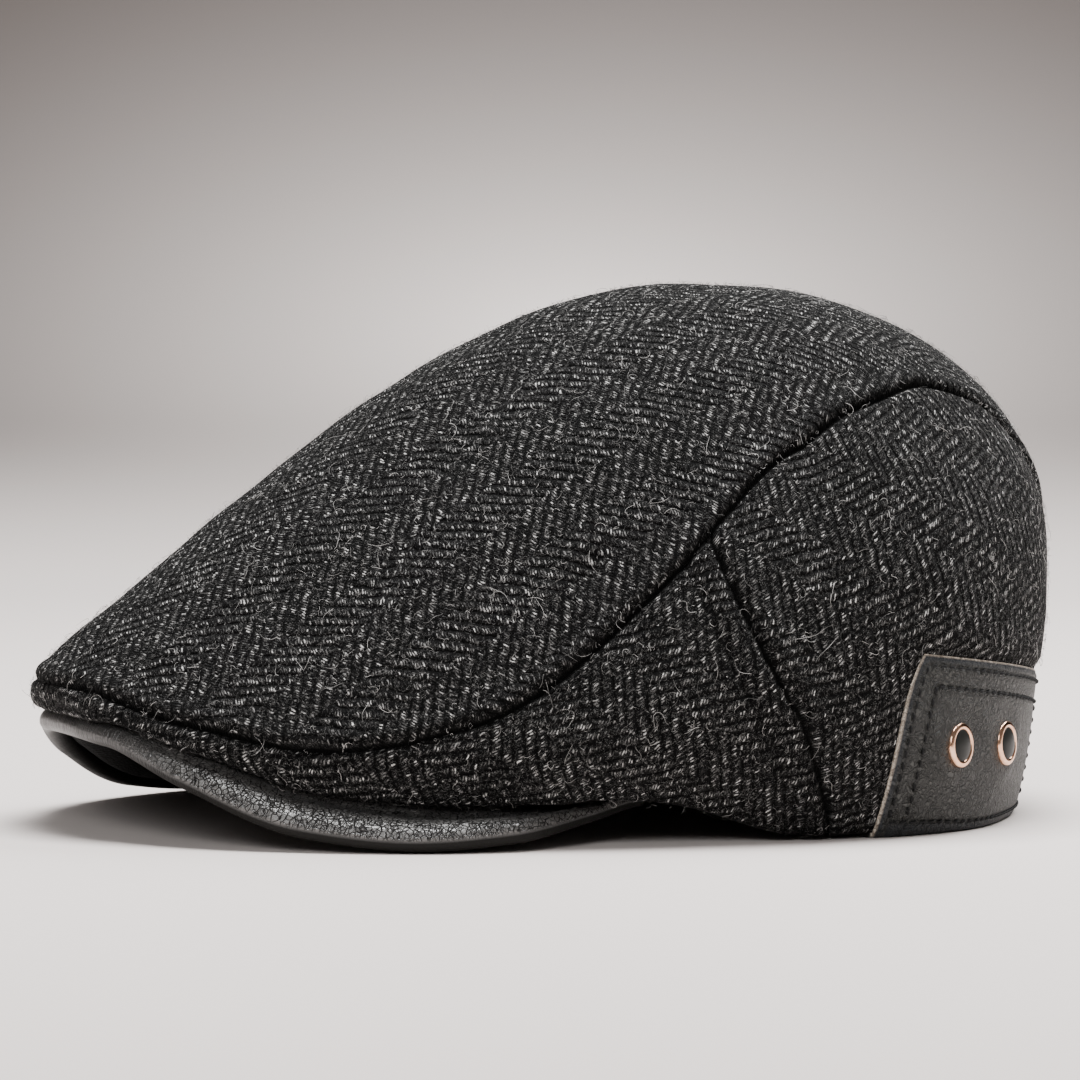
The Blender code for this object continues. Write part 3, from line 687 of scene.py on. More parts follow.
def seamSlant(turn):
    # the sine of the angle between the section line and the seam, where they cross
    seam = crownValue("seam", turn)
    along = crownPoint(turn + 1, crownValue("seam", turn + 1)) - crownPoint(turn - 1, crownValue("seam", turn - 1))
    up = crownPoint(turn, seam + 0.01) - crownPoint(turn, seam - 0.01)
    return np.linalg.norm(np.cross(unit(along), unit(up)), axis=-1)


def seamDistance(turn, height):
    # distance from the top seam along the section, times the slant of the seam there
    turns = np.linspace(0, 360, 361)
    levels = np.linspace(0, 2, 241)
    points = crownPoint(turns[:, None], levels[None, :])
    lengths = np.concatenate([np.zeros((361, 1)), np.cumsum(np.linalg.norm(np.diff(points, axis=1), axis=-1), axis=1)], axis=1)
    def arc(turnAt, level):
        i = np.clip(np.mod(turnAt, 360), 0, 359.999)
        j = np.clip(level, 0, 2) * 120
        i0, j0 = np.floor(i).astype(int), np.clip(np.floor(j).astype(int), 0, 239)
        s, t = i - i0, j - j0
        low = lengths[i0, j0] * (1 - s) + lengths[i0 + 1, j0] * s
        high = lengths[i0, j0 + 1] * (1 - s) + lengths[i0 + 1, j0 + 1] * s
        return low * (1 - t) + high * t
    return np.abs(arc(turn, height) - arc(turn, crownValue("seam", turn))) * seamSlant(turn)


def makeTopPanel():
    t = np.linspace(-1, 1, topPanel["steps"] + 1)
    shares = t * (1.32 - 0.32 * t * t)
    turn, height, out = topGrid(shares)
    away = seamDistance(turn, height)
    groove = topPanel["groove"] * (0.35 + 0.65 * ease(folded(turn) / 36))
    relief = topPanel["roll"] * bump(away, 0.0029, 0.0022) - groove * bump(away, 0.0, 0.0009)
    points = clothPoint(turn, height, relief)
    # the seam line itself is dark; the wider band beside it is painted shade where the cloth rolls in at the seam
    shade = 1 - ease((away - 0.0002) / 0.0008) + 0.45 * bump(away, 0.0, 0.0028)
    coarse = np.linspace(-1, 1, topPanel["coarse"] + 1)
    coarseTurn, coarseHeight, _ = topGrid(coarse)
    coarsePoints = crownPoint(coarseTurn, coarseHeight)
    flat = flatten(coarsePoints, 4000)
    flat = turnWeave(flat, coarsePoints, 0.35, 0.5, (0, 1, 0.5))
    uv = refine(flat, (shares + 1) / 2, (shares + 1) / 2)
    inner = np.linspace(-1, 1, topPanel["innerSteps"] + 1)
    innerTurn, innerHeight, _ = topGrid(inner)
    inside = crownPoint(innerTurn, innerHeight) - crownNormal(innerTurn, innerHeight) * crownShape["wall"]
    piece = makeMesh("topPanelCloth", points, gridFaces(*points.shape[:2]), tweed, uv, {"seam": np.clip(shade, 0, 1)})
    lining = makeMesh("topPanelInside", inside, gridFaces(*inside.shape[:2])[:, ::-1], insideCloth)
    finishPiece(piece, "tweed", "top_panel")
    finishPiece(lining, "tweed", "top_panel")
    return piece


makeTopPanel()
print("top panel made")

# Side panels

sidePanels = {
    "front": {"steps": 300, "rings": 90, "slope": -40.0, "shift": 0.0030},
    "back": {"steps": 280, "rings": 130, "slope": -40.0, "shift": 0.0085},
    "inner": (30, 60), "topStitch": 0.0044, "hem": 0.0016,
    "crowding": 0.65,   # how much closer the steps are at a panel's two ends than in its middle
}


def clothLaidFlat(turn, height, slope, shift):
    # across = way round the widest line from the side seam, up = way up the section from the widest line;
    # both are then turned so that the weave's columns slope down towards the back
    turns = np.linspace(0, 180, 361)
    reach, alongX, alongY = widestLine(turns)
    plan = np.stack([alongX * reach, alongY * reach], axis=-1)
    round_ = np.concatenate([[0.0], np.cumsum(np.linalg.norm(np.diff(plan, axis=0), axis=-1))])
    across = np.interp(turn, turns, round_) - np.interp(crownShape["seamWaist"], turns, round_)
    levels = np.linspace(0, 2, 201)
    points = crownPoint(turns[:, None], levels[None, :])
    lengths = np.concatenate([np.zeros((361, 1)), np.cumsum(np.linalg.norm(np.diff(points, axis=1), axis=-1), axis=1)], axis=1)
    i, j = np.clip(turn, 0, 179.99) * 2, np.clip(height, 0, 1.999) * 100
    i0, j0 = np.floor(i).astype(int), np.floor(j).astype(int)
    s, t = i - i0, j - j0
    low = lengths[i0, j0] * (1 - s) + lengths[i0 + 1, j0] * s
    high = lengths[i0, j0 + 1] * (1 - s) + lengths[i0 + 1, j0 + 1] * s
    waist = lengths[i0, 100] * (1 - s) + lengths[i0 + 1, 100] * s
    up = low * (1 - t) + high * t - waist
    angle = np.radians(slope)
    ahead = across * np.cos(angle) + up * np.sin(angle)
    side = up * np.cos(angle) - across * np.sin(angle) + shift
    return np.stack([ahead, side], axis=-1)


def sideSeam(height):
    return np.interp(height, (0, 1, 2), (crownShape["seamRim"], crownShape["seamWaist"], crownShape["seamTop"]))


def seamMeeting():
    turn = crownShape["seamWaist"]
    for _ in range(30):
        turn = float(sideSeam(crownValue("seam", turn)))
    return turn


def sectionHeights(turns, tops, shares):
    # the heights that part each section's length, from the rim to its top, at the given shares
    levels = np.linspace(0, 1, 301)[:, None] * tops[None, :]
    steps = np.linalg.norm(np.diff(crownPoint(turns[None, :], levels), axis=0), axis=-1)
    lengths = np.concatenate([np.zeros((1, len(turns))), np.cumsum(steps, axis=0)])
    return np.stack([np.interp(shares * length[-1], length, level) for length, level in zip(lengths.T, levels.T)], axis=1)


def panelGrid(word, alongShares, upShares):
    # turns run between the panel's ends at each height, heights from the rim to the seam
    meeting = seamMeeting()
    seamTurn = sideSeam(sectionHeights(np.array([meeting]), crownValue("seam", np.array([meeting])), upShares))
    turn = seamTurn * alongShares if word == "front" else seamTurn + (180 - seamTurn) * alongShares
    topTurn = meeting * alongShares if word == "front" else meeting + (180 - meeting) * alongShares
    return turn, sectionHeights(topTurn, crownValue("seam", topTurn), upShares)


def makeSidePanel(word, hand):
    values = sidePanels[word]
    u = np.linspace(0, 1, values["steps"] + 1)
    v = np.linspace(0, 1, values["rings"] + 1)
    up = v + 0.5 * np.sin(np.pi * v) / np.pi
    along = u - sidePanels["crowding"] * np.sin(2 * np.pi * u) / (2 * np.pi)
    turn, height = panelGrid(word, along, up)
    away = seamDistance(turn, height)
    reach = widestLine(turn)[0]
    beside = np.abs(turn - sideSeam(height)) * np.pi / 180 * reach * 0.93
    closing = np.minimum(turn, 180 - turn) * np.pi / 180 * reach
    foot = crownPoint(turn, height)[..., 2] - rimHeight(turn)
    # a second sewn line runs beside the side seam, fainter and on the front panel only
    second = bump(beside, sidePanels["topStitch"], 0.0007) if word == "front" else 0 * beside
    relief = -0.0017 * (0.35 + 0.65 * ease(turn / 36)) * bump(away, 0.0, 0.0010)
    relief += 0.0007 * bump(beside, 0.0020, 0.0014) - 0.0017 * bump(beside, 0.0, 0.0006) - 0.0008 * second
    relief -= 0.0010 * bump(closing, 0.0, 0.0010)
    relief -= sidePanels["hem"] * (0.4 + 0.6 * ease(turn / 45)) * (1 - ease(foot / 0.0020)) ** 2
    points = clothPoint(turn, height, relief)
    points[..., 2] -= 0.0011 * (1 - ease(turn / 45)) * (1 - ease(foot / 0.0050))
    shade = 1 - ease((away - 0.0002) / 0.0008) + 1 - ease((beside - 0.0001) / 0.0006) + 1 - ease((closing - 0.0001) / 0.0008)
    # painted shade: the cloth is darkened along its foot, where it meets the floor
    shade += 0.45 * second + 0.5 * (1 - ease(foot / 0.0015))
    uv = clothLaidFlat(turn, height, values["slope"], values["shift"])
    innerTurn, innerHeight = panelGrid(word, np.linspace(0, 1, sidePanels["inner"][1] + 1), np.linspace(0, 1, sidePanels["inner"][0] + 1))
    inner = crownPoint(innerTurn, innerHeight) - crownNormal(innerTurn, innerHeight) * crownShape["wall"]
    lip = np.stack([points[0], refine(inner, np.array([0.0]), along)[0]])
    if hand == "right":
        uv = uv + (0.4, 0.3)
        for part in (points, inner, lip):
            part[..., 0] *= -1
    flip = slice(None, None, 1 if hand == "left" else -1)
    quads = gridFaces(*points.shape[:2])[:, flip]
    body = np.concatenate([points.reshape(-1, 3), lip.reshape(-1, 3)])
    lipUv = np.concatenate([uv[0], uv[0] - (0.0, 0.002)])
    lipQuads = gridFaces(2, lip.shape[1], points[..., 0].size)[:, flip][:, ::-1]
    # painted shade: the lip under the rim is darkened
    shade = np.concatenate([np.clip(shade, 0, 1).ravel(), np.full(2 * points.shape[1], 0.6)])
    piece = makeMesh(f"{hand}{word.title()}Cloth", body, np.concatenate([quads, lipQuads]), tweed,
                     np.concatenate([uv.reshape(-1, 2), lipUv]), {"seam": shade})
    lining = makeMesh(f"{hand}{word.title()}Inside", inner, gridFaces(*inner.shape[:2])[:, flip][:, ::-1], insideCloth)
    finishPiece(piece, "tweed", f"{hand}_{word}_panel")
    finishPiece(lining, "tweed", f"{hand}_{word}_panel")


for hand in ("left", "right"):
    for word in ("front", "back"):
        makeSidePanel(word, hand)
print("side panels made")

# Peak

peakLook.update({"turns": 340, "rollSteps": 20, "topSteps": 40, "underSteps": 14, "bead": 0.0052})


def peakPlace(turn, inward, height):
    reach, alongX, alongY = widestLine(turn)
    out = reach + peakValue("overhang", turn) * crownShape["halfWidth"] - inward
    return np.stack([alongX * out, centreY + alongY * out, height + 0 * out], axis=-1)


def peakTurns(end, steps):
    share = np.linspace(-1, 1, steps + 1)
    return end * (1.25 * share - 0.25 * share**3)


def makePeak():
    # profile: back edge, along the top, half a circle round the roll, then in under it to the liner's groove
    turn = peakTurns(peakShape["rows"][-1][0], peakLook["turns"])[:, None]
    depth = peakValue("depth", turn) * crownShape["halfWidth"]
    rise = peakValue("rise", turn) * crownShape["height"]
    low = peakValue("low", turn) * crownShape["height"]
    thick = peakValue("thick", turn) * peakShape["thick"]
    radius = thick / 2
    over = np.linspace(1, 0, peakLook["topSteps"] + 1)[None, :-1]
    topIn = radius + (depth - radius) * over
    swell = 0.0006 * bump(topIn, 0.006, 0.004) - 0.0004 * bump(topIn, 0.0115, 0.002)
    topHigh = low + thick + rise * topIn / depth + swell
    angle = np.linspace(np.pi / 2, -np.pi / 2, peakLook["rollSteps"] + 1)[None, :]
    rollIn = radius - radius * np.cos(angle)
    rollHigh = low + radius + radius * np.sin(angle) + rise * rollIn / depth
    roll = np.minimum(peakLook["bead"], 0.6 * depth)
    under = np.linspace(0, 1, peakLook["underSteps"] + 1)[None, 1:]
    underIn = radius + (roll - radius) * np.sin(under * np.pi / 2)
    recess = 0.0019 * (1 - ease((np.abs(turn) - peakShape["linerEnd"]) / 4))
    underHigh = low + rise * underIn / depth + recess * (1 - np.cos(under * np.pi / 2))
    deepIn = roll + (depth - roll) * np.array([[0.02, 0.5, 1.0]])
    deepHigh = low + recess + rise * deepIn / depth
    inward = np.concatenate([topIn, rollIn, underIn, deepIn], axis=1)
    high = np.concatenate([topHigh, rollHigh, underHigh, deepHigh], axis=1)
    turns = np.broadcast_to(turn, inward.shape)
    points = peakPlace(turns, inward, high)
    points[..., 2] = np.maximum(points[..., 2], 0.0)
    rows, columns = inward.shape
    lengths = np.cumsum(np.linalg.norm(np.diff(points[:, peakLook["topSteps"]], axis=0), axis=-1))
    lengths = np.concatenate([[0.0], lengths])
    round_ = np.concatenate([np.zeros((rows, 1)), np.cumsum(np.linalg.norm(np.diff(points, axis=1), axis=-1), axis=1)], axis=1)
    uv = np.stack([np.broadcast_to(lengths[:, None], round_.shape) * 1500, round_ * 120], axis=-1)
    above = (high - low - rise * inward / depth) / thick
    crackle = ease((above - 0.50) / 0.16) * (np.arange(columns)[None, :] < peakLook["topSteps"] + peakLook["rollSteps"])
    crackle = crackle * (0.10 + 0.90 * ease((np.abs(turns) - 16) / 16))
    crease = (1 - ease((np.abs(turns) - 26) / 24)) * ease(1.4 - inward / 0.006) * ease((above - 0.1) / 0.3)
    # painted shade: below marks the roll's lower half, which the leather colours darker and less glossy
    below = 1 - ease((above - 0.42) / 0.16) * (np.arange(columns)[None, :] <= peakLook["topSteps"] + peakLook["rollSteps"])
    below = below * (0.35 + 0.65 * ease((np.abs(turns) - 10) / 24))
    quads = gridFaces(rows, columns, wrap=True)
    size = rows * columns
    caps = [np.arange(columns) + (rows - 1) * columns * side for side in (0, 1)]
    points = points.reshape(-1, 3)
    capQuads = []
    for side, cap in enumerate(caps):
        half = columns // 2
        a = cap[:half]
        b = cap[::-1][:half]
        strip = np.stack([a[:-1], a[1:], b[1:], b[:-1]], axis=-1)
        capQuads.append(strip if side else strip[:, ::-1])
    piece = makeMesh("peakLeather", points, np.concatenate([quads, *capQuads]), peakLeather, uv,
                     {"crackle": crackle, "crease": crease, "below": below}, sharp=60)
    finishPiece(piece, "black_leather", "peak")


def makeLiner():
    turn = peakTurns(peakShape["linerEnd"] - 1, 260)[:, None]
    depth = peakValue("depth", turn) * crownShape["halfWidth"]
    rise = peakValue("rise", turn) * crownShape["height"]
    low = peakValue("low", turn) * crownShape["height"]
    share = np.linspace(0, 1, 41)[None, :]
    start = peakLook["bead"] + 0.0003
    inward = start + (depth - start) * share
    dip = 0.0005 * (1 - ease(np.minimum(share, 1 - share) / 0.03))
    high = low + rise * inward / depth + dip + 0.0011
    outer = peakPlace(np.broadcast_to(turn, inward.shape), inward, high)
    inner = outer + (0, 0, 0.0006)
    rows, columns = inward.shape
    points = np.concatenate([outer.reshape(-1, 3), inner.reshape(-1, 3)])
    faces = [gridFaces(rows, columns), gridFaces(rows, columns, rows * columns)[:, ::-1]]
    size = rows * columns
    index = np.arange(size).reshape(rows, columns)
    for line in (index[0], index[:, -1], index[-1, ::-1], index[::-1, 0]):
        faces.append(np.stack([line[:-1], line[1:], line[1:] + size, line[:-1] + size], axis=-1)[:, ::-1])
    piece = makeMesh("peakLiner", points, np.concatenate(faces), linerLeather, sharp=50)
    finishPiece(piece, "underside_leather", "peak_underside")


makePeak()
makeLiner()
print("peak made")

# Back patch

patchLook = {"steps": 320, "rings": 80, "stitch": 0.0019, "gap": 0.0010, "threadRadius": 0.00030}


def heightAt(turn, z):
    # the height on the section where the crown is z above the floor, by halving its range again and again
    turn, z = np.broadcast_arrays(np.asarray(turn, float), np.asarray(z, float))
    low, high = np.zeros(turn.shape), np.full(turn.shape, 2.0)
    for _ in range(24):
        middle = (low + high) / 2
        under = crownPoint(turn, middle)[..., 2] < z
        low, high = np.where(under, middle, low), np.where(under, high, middle)
    return (low + high) / 2


def patchGrid(alongShares, upShares):
    up = upShares[:, None]
    edge = patchEdgeTurn(up)
    turn = edge + (360 - 2 * edge) * alongShares[None, :]
    topTurn = patchShape["cornerTurn"] + (360 - 2 * patchShape["cornerTurn"]) * alongShares
    return turn, heightAt(turn, patchTopHeight(topTurn)[None, :] * up)


def leatherPoint(turn, height):
    point, normal = crownPoint(turn, height), crownNormal(turn, height)
    sit = leatherSit(point[..., 2] / patchTopHeight(turn))
    return point + normal * sit[..., None], normal


def studPlace(turn, share, facing):
    # where a stud of the left side sits, the leather's way out there, and the way the stud faces
    here = np.array([turn])
    point, normal = leatherPoint(here, heightAt(here, patchTopHeight(here) * share))
    angle = np.radians(facing)
    return point[0], normal[0], unit(np.array([np.cos(angle), np.sin(angle), 0.03]))


studPlaces = [(place[0], *studPlace(*place[1:])) for place in studShape["places"]]


def patchPoint(turn, height, offset):
    # the leather's face, turned round each stud towards the plane p.way = 0 that the stud is riveted to
    point, normal = leatherPoint(turn, height)
    side = np.where(point[..., :1] < 0, (-1.0, 1.0, 1.0), (1.0, 1.0, 1.0))
    for _, place, outward, way in studPlaces:
        way = unit(outward * (1 - studShape["settle"]) + way * studShape["settle"])
        away = point * side - place
        share = 1 - ease((np.linalg.norm(away, axis=-1) - studShape["seat"]) / (studShape["seatEnd"] - studShape["seat"]))
        offset = offset - share * (away @ way) / np.maximum((normal * side) @ way, 0.5)
    return point + normal * offset[..., None]


def footLineHeight(turn):
    # where the leather is folded under: it comes down from the patch's end towards the back
    return patchShape["footBack"] + (patchShape["footLeft"] - patchShape["footBack"]) * (1 - ease((folded(turn) - 98) / 26))


def patchDistances(turn, height):
    point = crownPoint(turn, height)
    fromTop = patchTopHeight(turn) - point[..., 2]
    climb = np.clip(point[..., 2] / patchTopHeight(turn), 0, 1)
    fromSide = (folded(turn) - patchEdgeTurn(climb)) * np.pi / 180 * patchShape["bend"]
    return fromTop, fromSide, point[..., 2]


def makePatch():
    u = np.linspace(0, 1, patchLook["steps"] + 1)
    v = np.linspace(0, 1, patchLook["rings"] + 1)
    turn, height = patchGrid(u, v)
    fromTop, fromSide, fromFoot = patchDistances(turn, height)
    border = np.minimum(np.maximum(fromTop, 0), np.maximum(fromSide, 0))
    side = patchShape["sideShare"]
    # each row's signed distance: across the line, inwards
    outerRow = np.minimum(fromTop - patchShape["outerRow"], fromSide - patchShape["outerRow"] * side)
    innerRow = np.minimum(fromTop - patchShape["innerRow"], fromSide - patchShape["innerRow"] * side)
    footRow = np.where(fromSide > patchShape["outerRow"] * side, fromFoot - footLineHeight(turn), 0.01)
    closing = np.abs(folded(turn) - patchShape["closeTurn"]) * np.pi / 180 * crownShape["backReach"]
    closing = np.where(innerRow > -0.0003, closing, 0.01)
    footRow = np.where(np.abs(footRow) < closing, footRow, closing)
    dip = bump(outerRow, 0.0, 0.0006) + bump(innerRow, 0.0, 0.0006) + 1.2 * bump(footRow, 0.0, 0.0006)
    round_ = -0.00060 * (1 - ease(border / 0.0016)) + 0.0002 * ease((border - 0.004) / 0.01)
    offset = round_ - 0.00022 * dip + 0.00020 * waves(crownPoint(turn, height), 0.03, 8)
    offset = offset - 0.0003 * (1 - ease(fromFoot / 0.003))
    outer = patchPoint(turn, height, offset)
    outer[..., 2] = np.maximum(outer[..., 2], 0.0004)
    inner = patchPoint(turn, height, np.full(turn.shape, -patchShape["wall"]))
    inner[..., 2] = np.maximum(inner[..., 2], 0.0012)
    foot = crownPoint(turn[0], 0.0)
    reach, alongX, alongY = widestLine(turn[0])
    outward = np.stack([alongX, alongY, 0 * alongX], axis=-1)
    plan = outer[0] * (1, 1, 0)
    hemRows = [plan - outward * 0.0008, plan - outward * 0.007, plan - outward * 0.007 + (0, 0, 0.0012), inner[0] - outward * 0.0003]
    loop = np.concatenate([outer[::-1], np.array(hemRows), inner])
    rows, columns = loop.shape[:2]
    raw = np.zeros((rows, columns))
    raw[0] = 1.0
    raw[len(outer) + len(hemRows):] = 1.0
    raw[:len(outer), 0] = 1.0
    raw[:len(outer), -1] = 1.0
    shown = {}
    for key, value in (("edge", border), ("outerRow", outerRow), ("innerRow", innerRow), ("footRow", footRow)):
        shown[key] = np.ones((rows, columns))
        shown[key][:len(outer)] = value[::-1]
    points = loop.reshape(-1, 3)
    i = np.arange(rows)[:, None]
    j = np.arange(columns - 1)[None, :]
    k = (i + 1) % rows
    quads = np.stack([i * columns + j, k * columns + j, k * columns + j + 1, i * columns + j + 1], axis=-1).reshape(-1, 4)
    # end walls close the loop of rows at each end of the patch: outer row i faces inner row i
    outerIndex = np.arange(len(outer))
    innerIndex = rows - 1 - np.arange(len(inner))
    for column, order in ((0, 1), (columns - 1, -1)):
        a = outerIndex * columns + column
        b = innerIndex * columns + column
        quads = np.concatenate([quads, np.stack([a[:-1], b[:-1], b[1:], a[1:]], axis=-1)[:, ::-order]])
        hemIndex = (len(outer) + np.arange(len(hemRows))) * columns + column
        last = np.array([[a[-1], hemIndex[0], hemIndex[3], b[-1]], [hemIndex[0], hemIndex[1], hemIndex[2], hemIndex[3]]])
        quads = np.concatenate([quads, last[:, ::order]])
    piece = makeMesh("patchLeather", points, quads, patchLeather, None, {"raw": raw, **shown}, sharp=50)
    finishPiece(piece, "grey_leather", "back_patch")


def threadRow(turn, height, lift):
    # stitches along a line on the patch: arched, tapered tubes slanted a little across the line
    line = patchPoint(turn, height, np.full(turn.shape, lift))
    normal = crownNormal(turn, height)
    run = np.concatenate([[0.0], np.cumsum(np.linalg.norm(np.diff(line, axis=0), axis=-1))])
    starts = np.arange(0.0006, run[-1] - patchLook["stitch"], patchLook["stitch"] + patchLook["gap"])
    share = np.linspace(0, 1, 8)
    at = starts[:, None] + patchLook["stitch"] * share[None, :]
    def read(values):
        return np.stack([np.interp(at, run, values[:, i]) for i in range(3)], axis=-1)
    centre, up = read(line), unit(read(normal))
    along = unit(np.gradient(centre, axis=1))
    side = np.cross(up, along)
    slant = (share - 0.5)[None, :, None] * 0.00045
    arch = (0.00042 * np.sin(np.pi * share) - 0.00022)[None, :, None]
    centre = centre + side * slant + up * arch
    angle = np.linspace(0, 2 * np.pi, 7)[:-1]
    girth = patchLook["threadRadius"] * np.sqrt(np.clip(1 - (2 * share - 1) ** 4, 0.05, 1))[None, :, None, None]
    ring = side[:, :, None, :] * np.cos(angle)[None, None, :, None] + up[:, :, None, :] * np.sin(angle)[None, None, :, None]
    return centre[:, :, None, :] + ring * girth


def tubeFaces(count, steps, sides):
    one = gridFaces(steps, sides, wrap=True)
    return (one[None] + (np.arange(count) * steps * sides)[:, None, None]).reshape(-1, 4)


def makeStitches():
    rows = []
    span = np.linspace(0, 1, 1500)
    degrees = np.degrees(patchShape["sideShare"] / patchShape["bend"])
    def topLine(inset):
        start = patchEdgeTurn(1 - inset / patchShape["sideHeight"]) + inset * degrees
        turn = start + (360 - 2 * start) * span
        return turn, heightAt(turn, patchTopHeight(turn) - inset)
    def sideLine(inset):
        z = np.linspace(patchShape["sideHeight"] - inset, patchShape["footLeft"] + 0.0004, 400)
        turn = patchEdgeTurn(z / patchShape["sideHeight"]) + inset * degrees
        return turn, heightAt(turn, z)
    def closeLine():
        turn = np.full(300, patchShape["closeTurn"])
        z = np.linspace(patchTopHeight(turn) - patchShape["innerRow"], footLineHeight(turn), 300)[:, 0]
        return turn, heightAt(turn, z)
    def footLine():
        start = patchEdgeTurn(np.array(0.08)) + patchShape["outerRow"] * degrees
        turn = start + (360 - 2 * start) * span
        return turn, heightAt(turn, footLineHeight(turn))
    for line in (sideLine(patchShape["outerRow"]), sideLine(patchShape["innerRow"]), closeLine()):
        rows += [line, (360 - line[0], line[1])]
    rows += [topLine(patchShape["outerRow"]), topLine(patchShape["innerRow"]), footLine()]
    tubes = [threadRow(turn, height, 0.00010) for turn, height in rows]
    points = np.concatenate([tube.reshape(-1, 3) for tube in tubes])
    count = len(points) // 48
    piece = makeMesh("patchStitches", points, tubeFaces(count, 8, 6), thread)
    finishPiece(piece, "grey_leather")


makePatch()
makeStitches()
print("patch made")

# Studs

studLook = {"steps": 72}


def lathe(profile, steps):
    angle = np.linspace(0, 2 * np.pi, steps + 1)[:-1]
    profile = np.array(profile)
    ring = np.stack([np.cos(angle), np.sin(angle)], axis=-1)
    return np.concatenate([profile[:, None, :1] * ring[None], np.broadcast_to(profile[:, None, 1:], (len(profile), steps, 1))], axis=-1)


def makeStuds():
    # ring: a bevelled tube round the dome; dome: a shallow cap that closes on its centre
    outer = studShape["diameter"] / 2
    inner = outer * studShape["domeShare"]
    top = studShape["height"]
    middle = (outer + inner) / 2
    a = np.linspace(0, np.pi / 2, 7)
    ringProfile = [(outer, -0.0012), (outer, top * 0.40)]
    ringProfile += [(outer - 0.0005 * (1 - np.cos(x)), top * 0.40 + top * 0.50 * np.sin(x)) for x in a[1:]]
    ringProfile += [(middle, top), (inner + 0.00035, top * 0.98), (inner + 0.00012, top * 0.90), (inner, top * 0.78)]
    ringProfile += [(inner, -0.0012), (outer, -0.0012)]
    domeEdge = top * 0.78
    domeProfile = [(inner * np.sin(x), domeEdge + studShape["domeRise"] * np.cos(x) ** 1.2) for x in np.linspace(np.pi / 2, 0, 16)]
    for word, seat, _, way in studPlaces:
        for side, hand in ((1, "left"), (-1, "right")):
            place, normal = seat * (side, 1, 1), way * (side, 1, 1)
            across = unit(np.cross((0.0, 0.0, 1.0), normal))
            turnTo = np.stack([across, np.cross(normal, across), normal])
            for name, profile, material, slot in (
                ("Ring", ringProfile, copper, "copper_metal"),
                ("Dome", domeProfile, enamel, "dark_enamel"),
            ):
                points = lathe(profile, studLook["steps"]) @ turnTo + place
                quads = gridFaces(len(profile), studLook["steps"], wrap=True)
                piece = makeMesh(f"{hand}{word.title()}Stud{name}", points, quads, material, sharp=55)
                finishPiece(piece, slot, f"{hand}_{word}_stud_{name.lower()}")


makeStuds()
print("studs made")

# Loose fibres

fibreLook = {
    "long": {"count": 1500, "steps": 10, "length": 0.0030, "least": 0.0018, "bend": 560.0, "lift": 0.0009, "radius": 0.000042},
    "short": {"count": 4300, "steps": 5, "length": 0.0011, "least": 0.0006, "bend": 1700.0, "lift": 0.0005, "radius": 0.000034},
    "fuzz": 7500, "fuzzRadius": 0.000030,
}


def crownPlaces(count, rng, lowest=0.0):
    # random turns and heights, thinned so that they are even over the crown's area
    turn = rng.uniform(0, 360, count * 4)
    height = rng.uniform(lowest, 2, count * 4)
    across = np.linalg.norm(crownPoint(turn + 0.5, height) - crownPoint(turn - 0.5, height), axis=-1)
    up = np.linalg.norm(crownPoint(turn, np.clip(height + 0.01, 0, 2)) - crownPoint(turn, np.clip(height - 0.01, 0, 2)), axis=-1)
    area = across * up
    keep = rng.uniform(0, 1, len(area)) * np.quantile(area, 0.98) < area
    turn, height = turn[keep][:count], height[keep][:count]
    fromTop, fromSide, _ = patchDistances(turn, height)
    clear = (np.minimum(fromTop, fromSide) < -0.001) | (height > 1.3)
    return turn[clear], height[clear]


def makeCurls(name, values, seed):
    # each fibre is a curve whose heading swings as it goes, held a little off the cloth
    rng = np.random.default_rng(seed)
    turn, height = crownPlaces(values["count"], rng)
    root, normal = clothPoint(turn, height, np.zeros(len(turn))), crownNormal(turn, height)
    count, steps = len(turn), values["steps"]
    first = unit(np.cross(normal, rng.normal(size=(count, 3))))
    second = np.cross(normal, first)
    length = rng.gamma(2.2, values["length"] / 2.2, (count, 1)) + values["least"]
    share = np.linspace(0, 1, steps)[None, :]
    bend = rng.normal(0, values["bend"], (count, 1)) + rng.normal(0, values["bend"] * 1.3, (count, 1)) * np.cos(share * rng.uniform(2, 7, (count, 1)))
    bend = bend * np.minimum(length, 0.005)
    heading = np.cumsum(bend / steps, axis=1)
    x = np.cumsum(np.cos(heading) * length / steps, axis=1)
    y = np.cumsum(np.sin(heading) * length / steps, axis=1)
    lift = 0.0003 + rng.uniform(0.0, values["lift"], (count, 1)) * np.sin(np.pi * share * rng.uniform(0.5, 1.0, (count, 1)))
    sag = (x**2 + y**2) / 2 / 0.09
    line = root[:, None] + first[:, None] * x[..., None] + second[:, None] * y[..., None] + normal[:, None] * (lift - sag)[..., None]
    line[..., 2] = np.maximum(line[..., 2], 0.0002)
    along = unit(np.gradient(line, axis=1))
    side = unit(np.cross(along, normal[:, None]))
    up = np.cross(side, along)
    angle = np.linspace(0, 2 * np.pi, 4)[:-1]
    girth = (values["radius"] * rng.uniform(0.7, 1.5, (count, 1)) * (1 - 0.7 * share ** 3))[..., None, None]
    ring = side[:, :, None] * np.cos(angle)[:, None] + up[:, :, None] * np.sin(angle)[:, None]
    points = line[:, :, None] + ring * girth
    piece = makeMesh(name, points, tubeFaces(count, steps, 3), paleFibre)
    finishPiece(piece, "tweed")


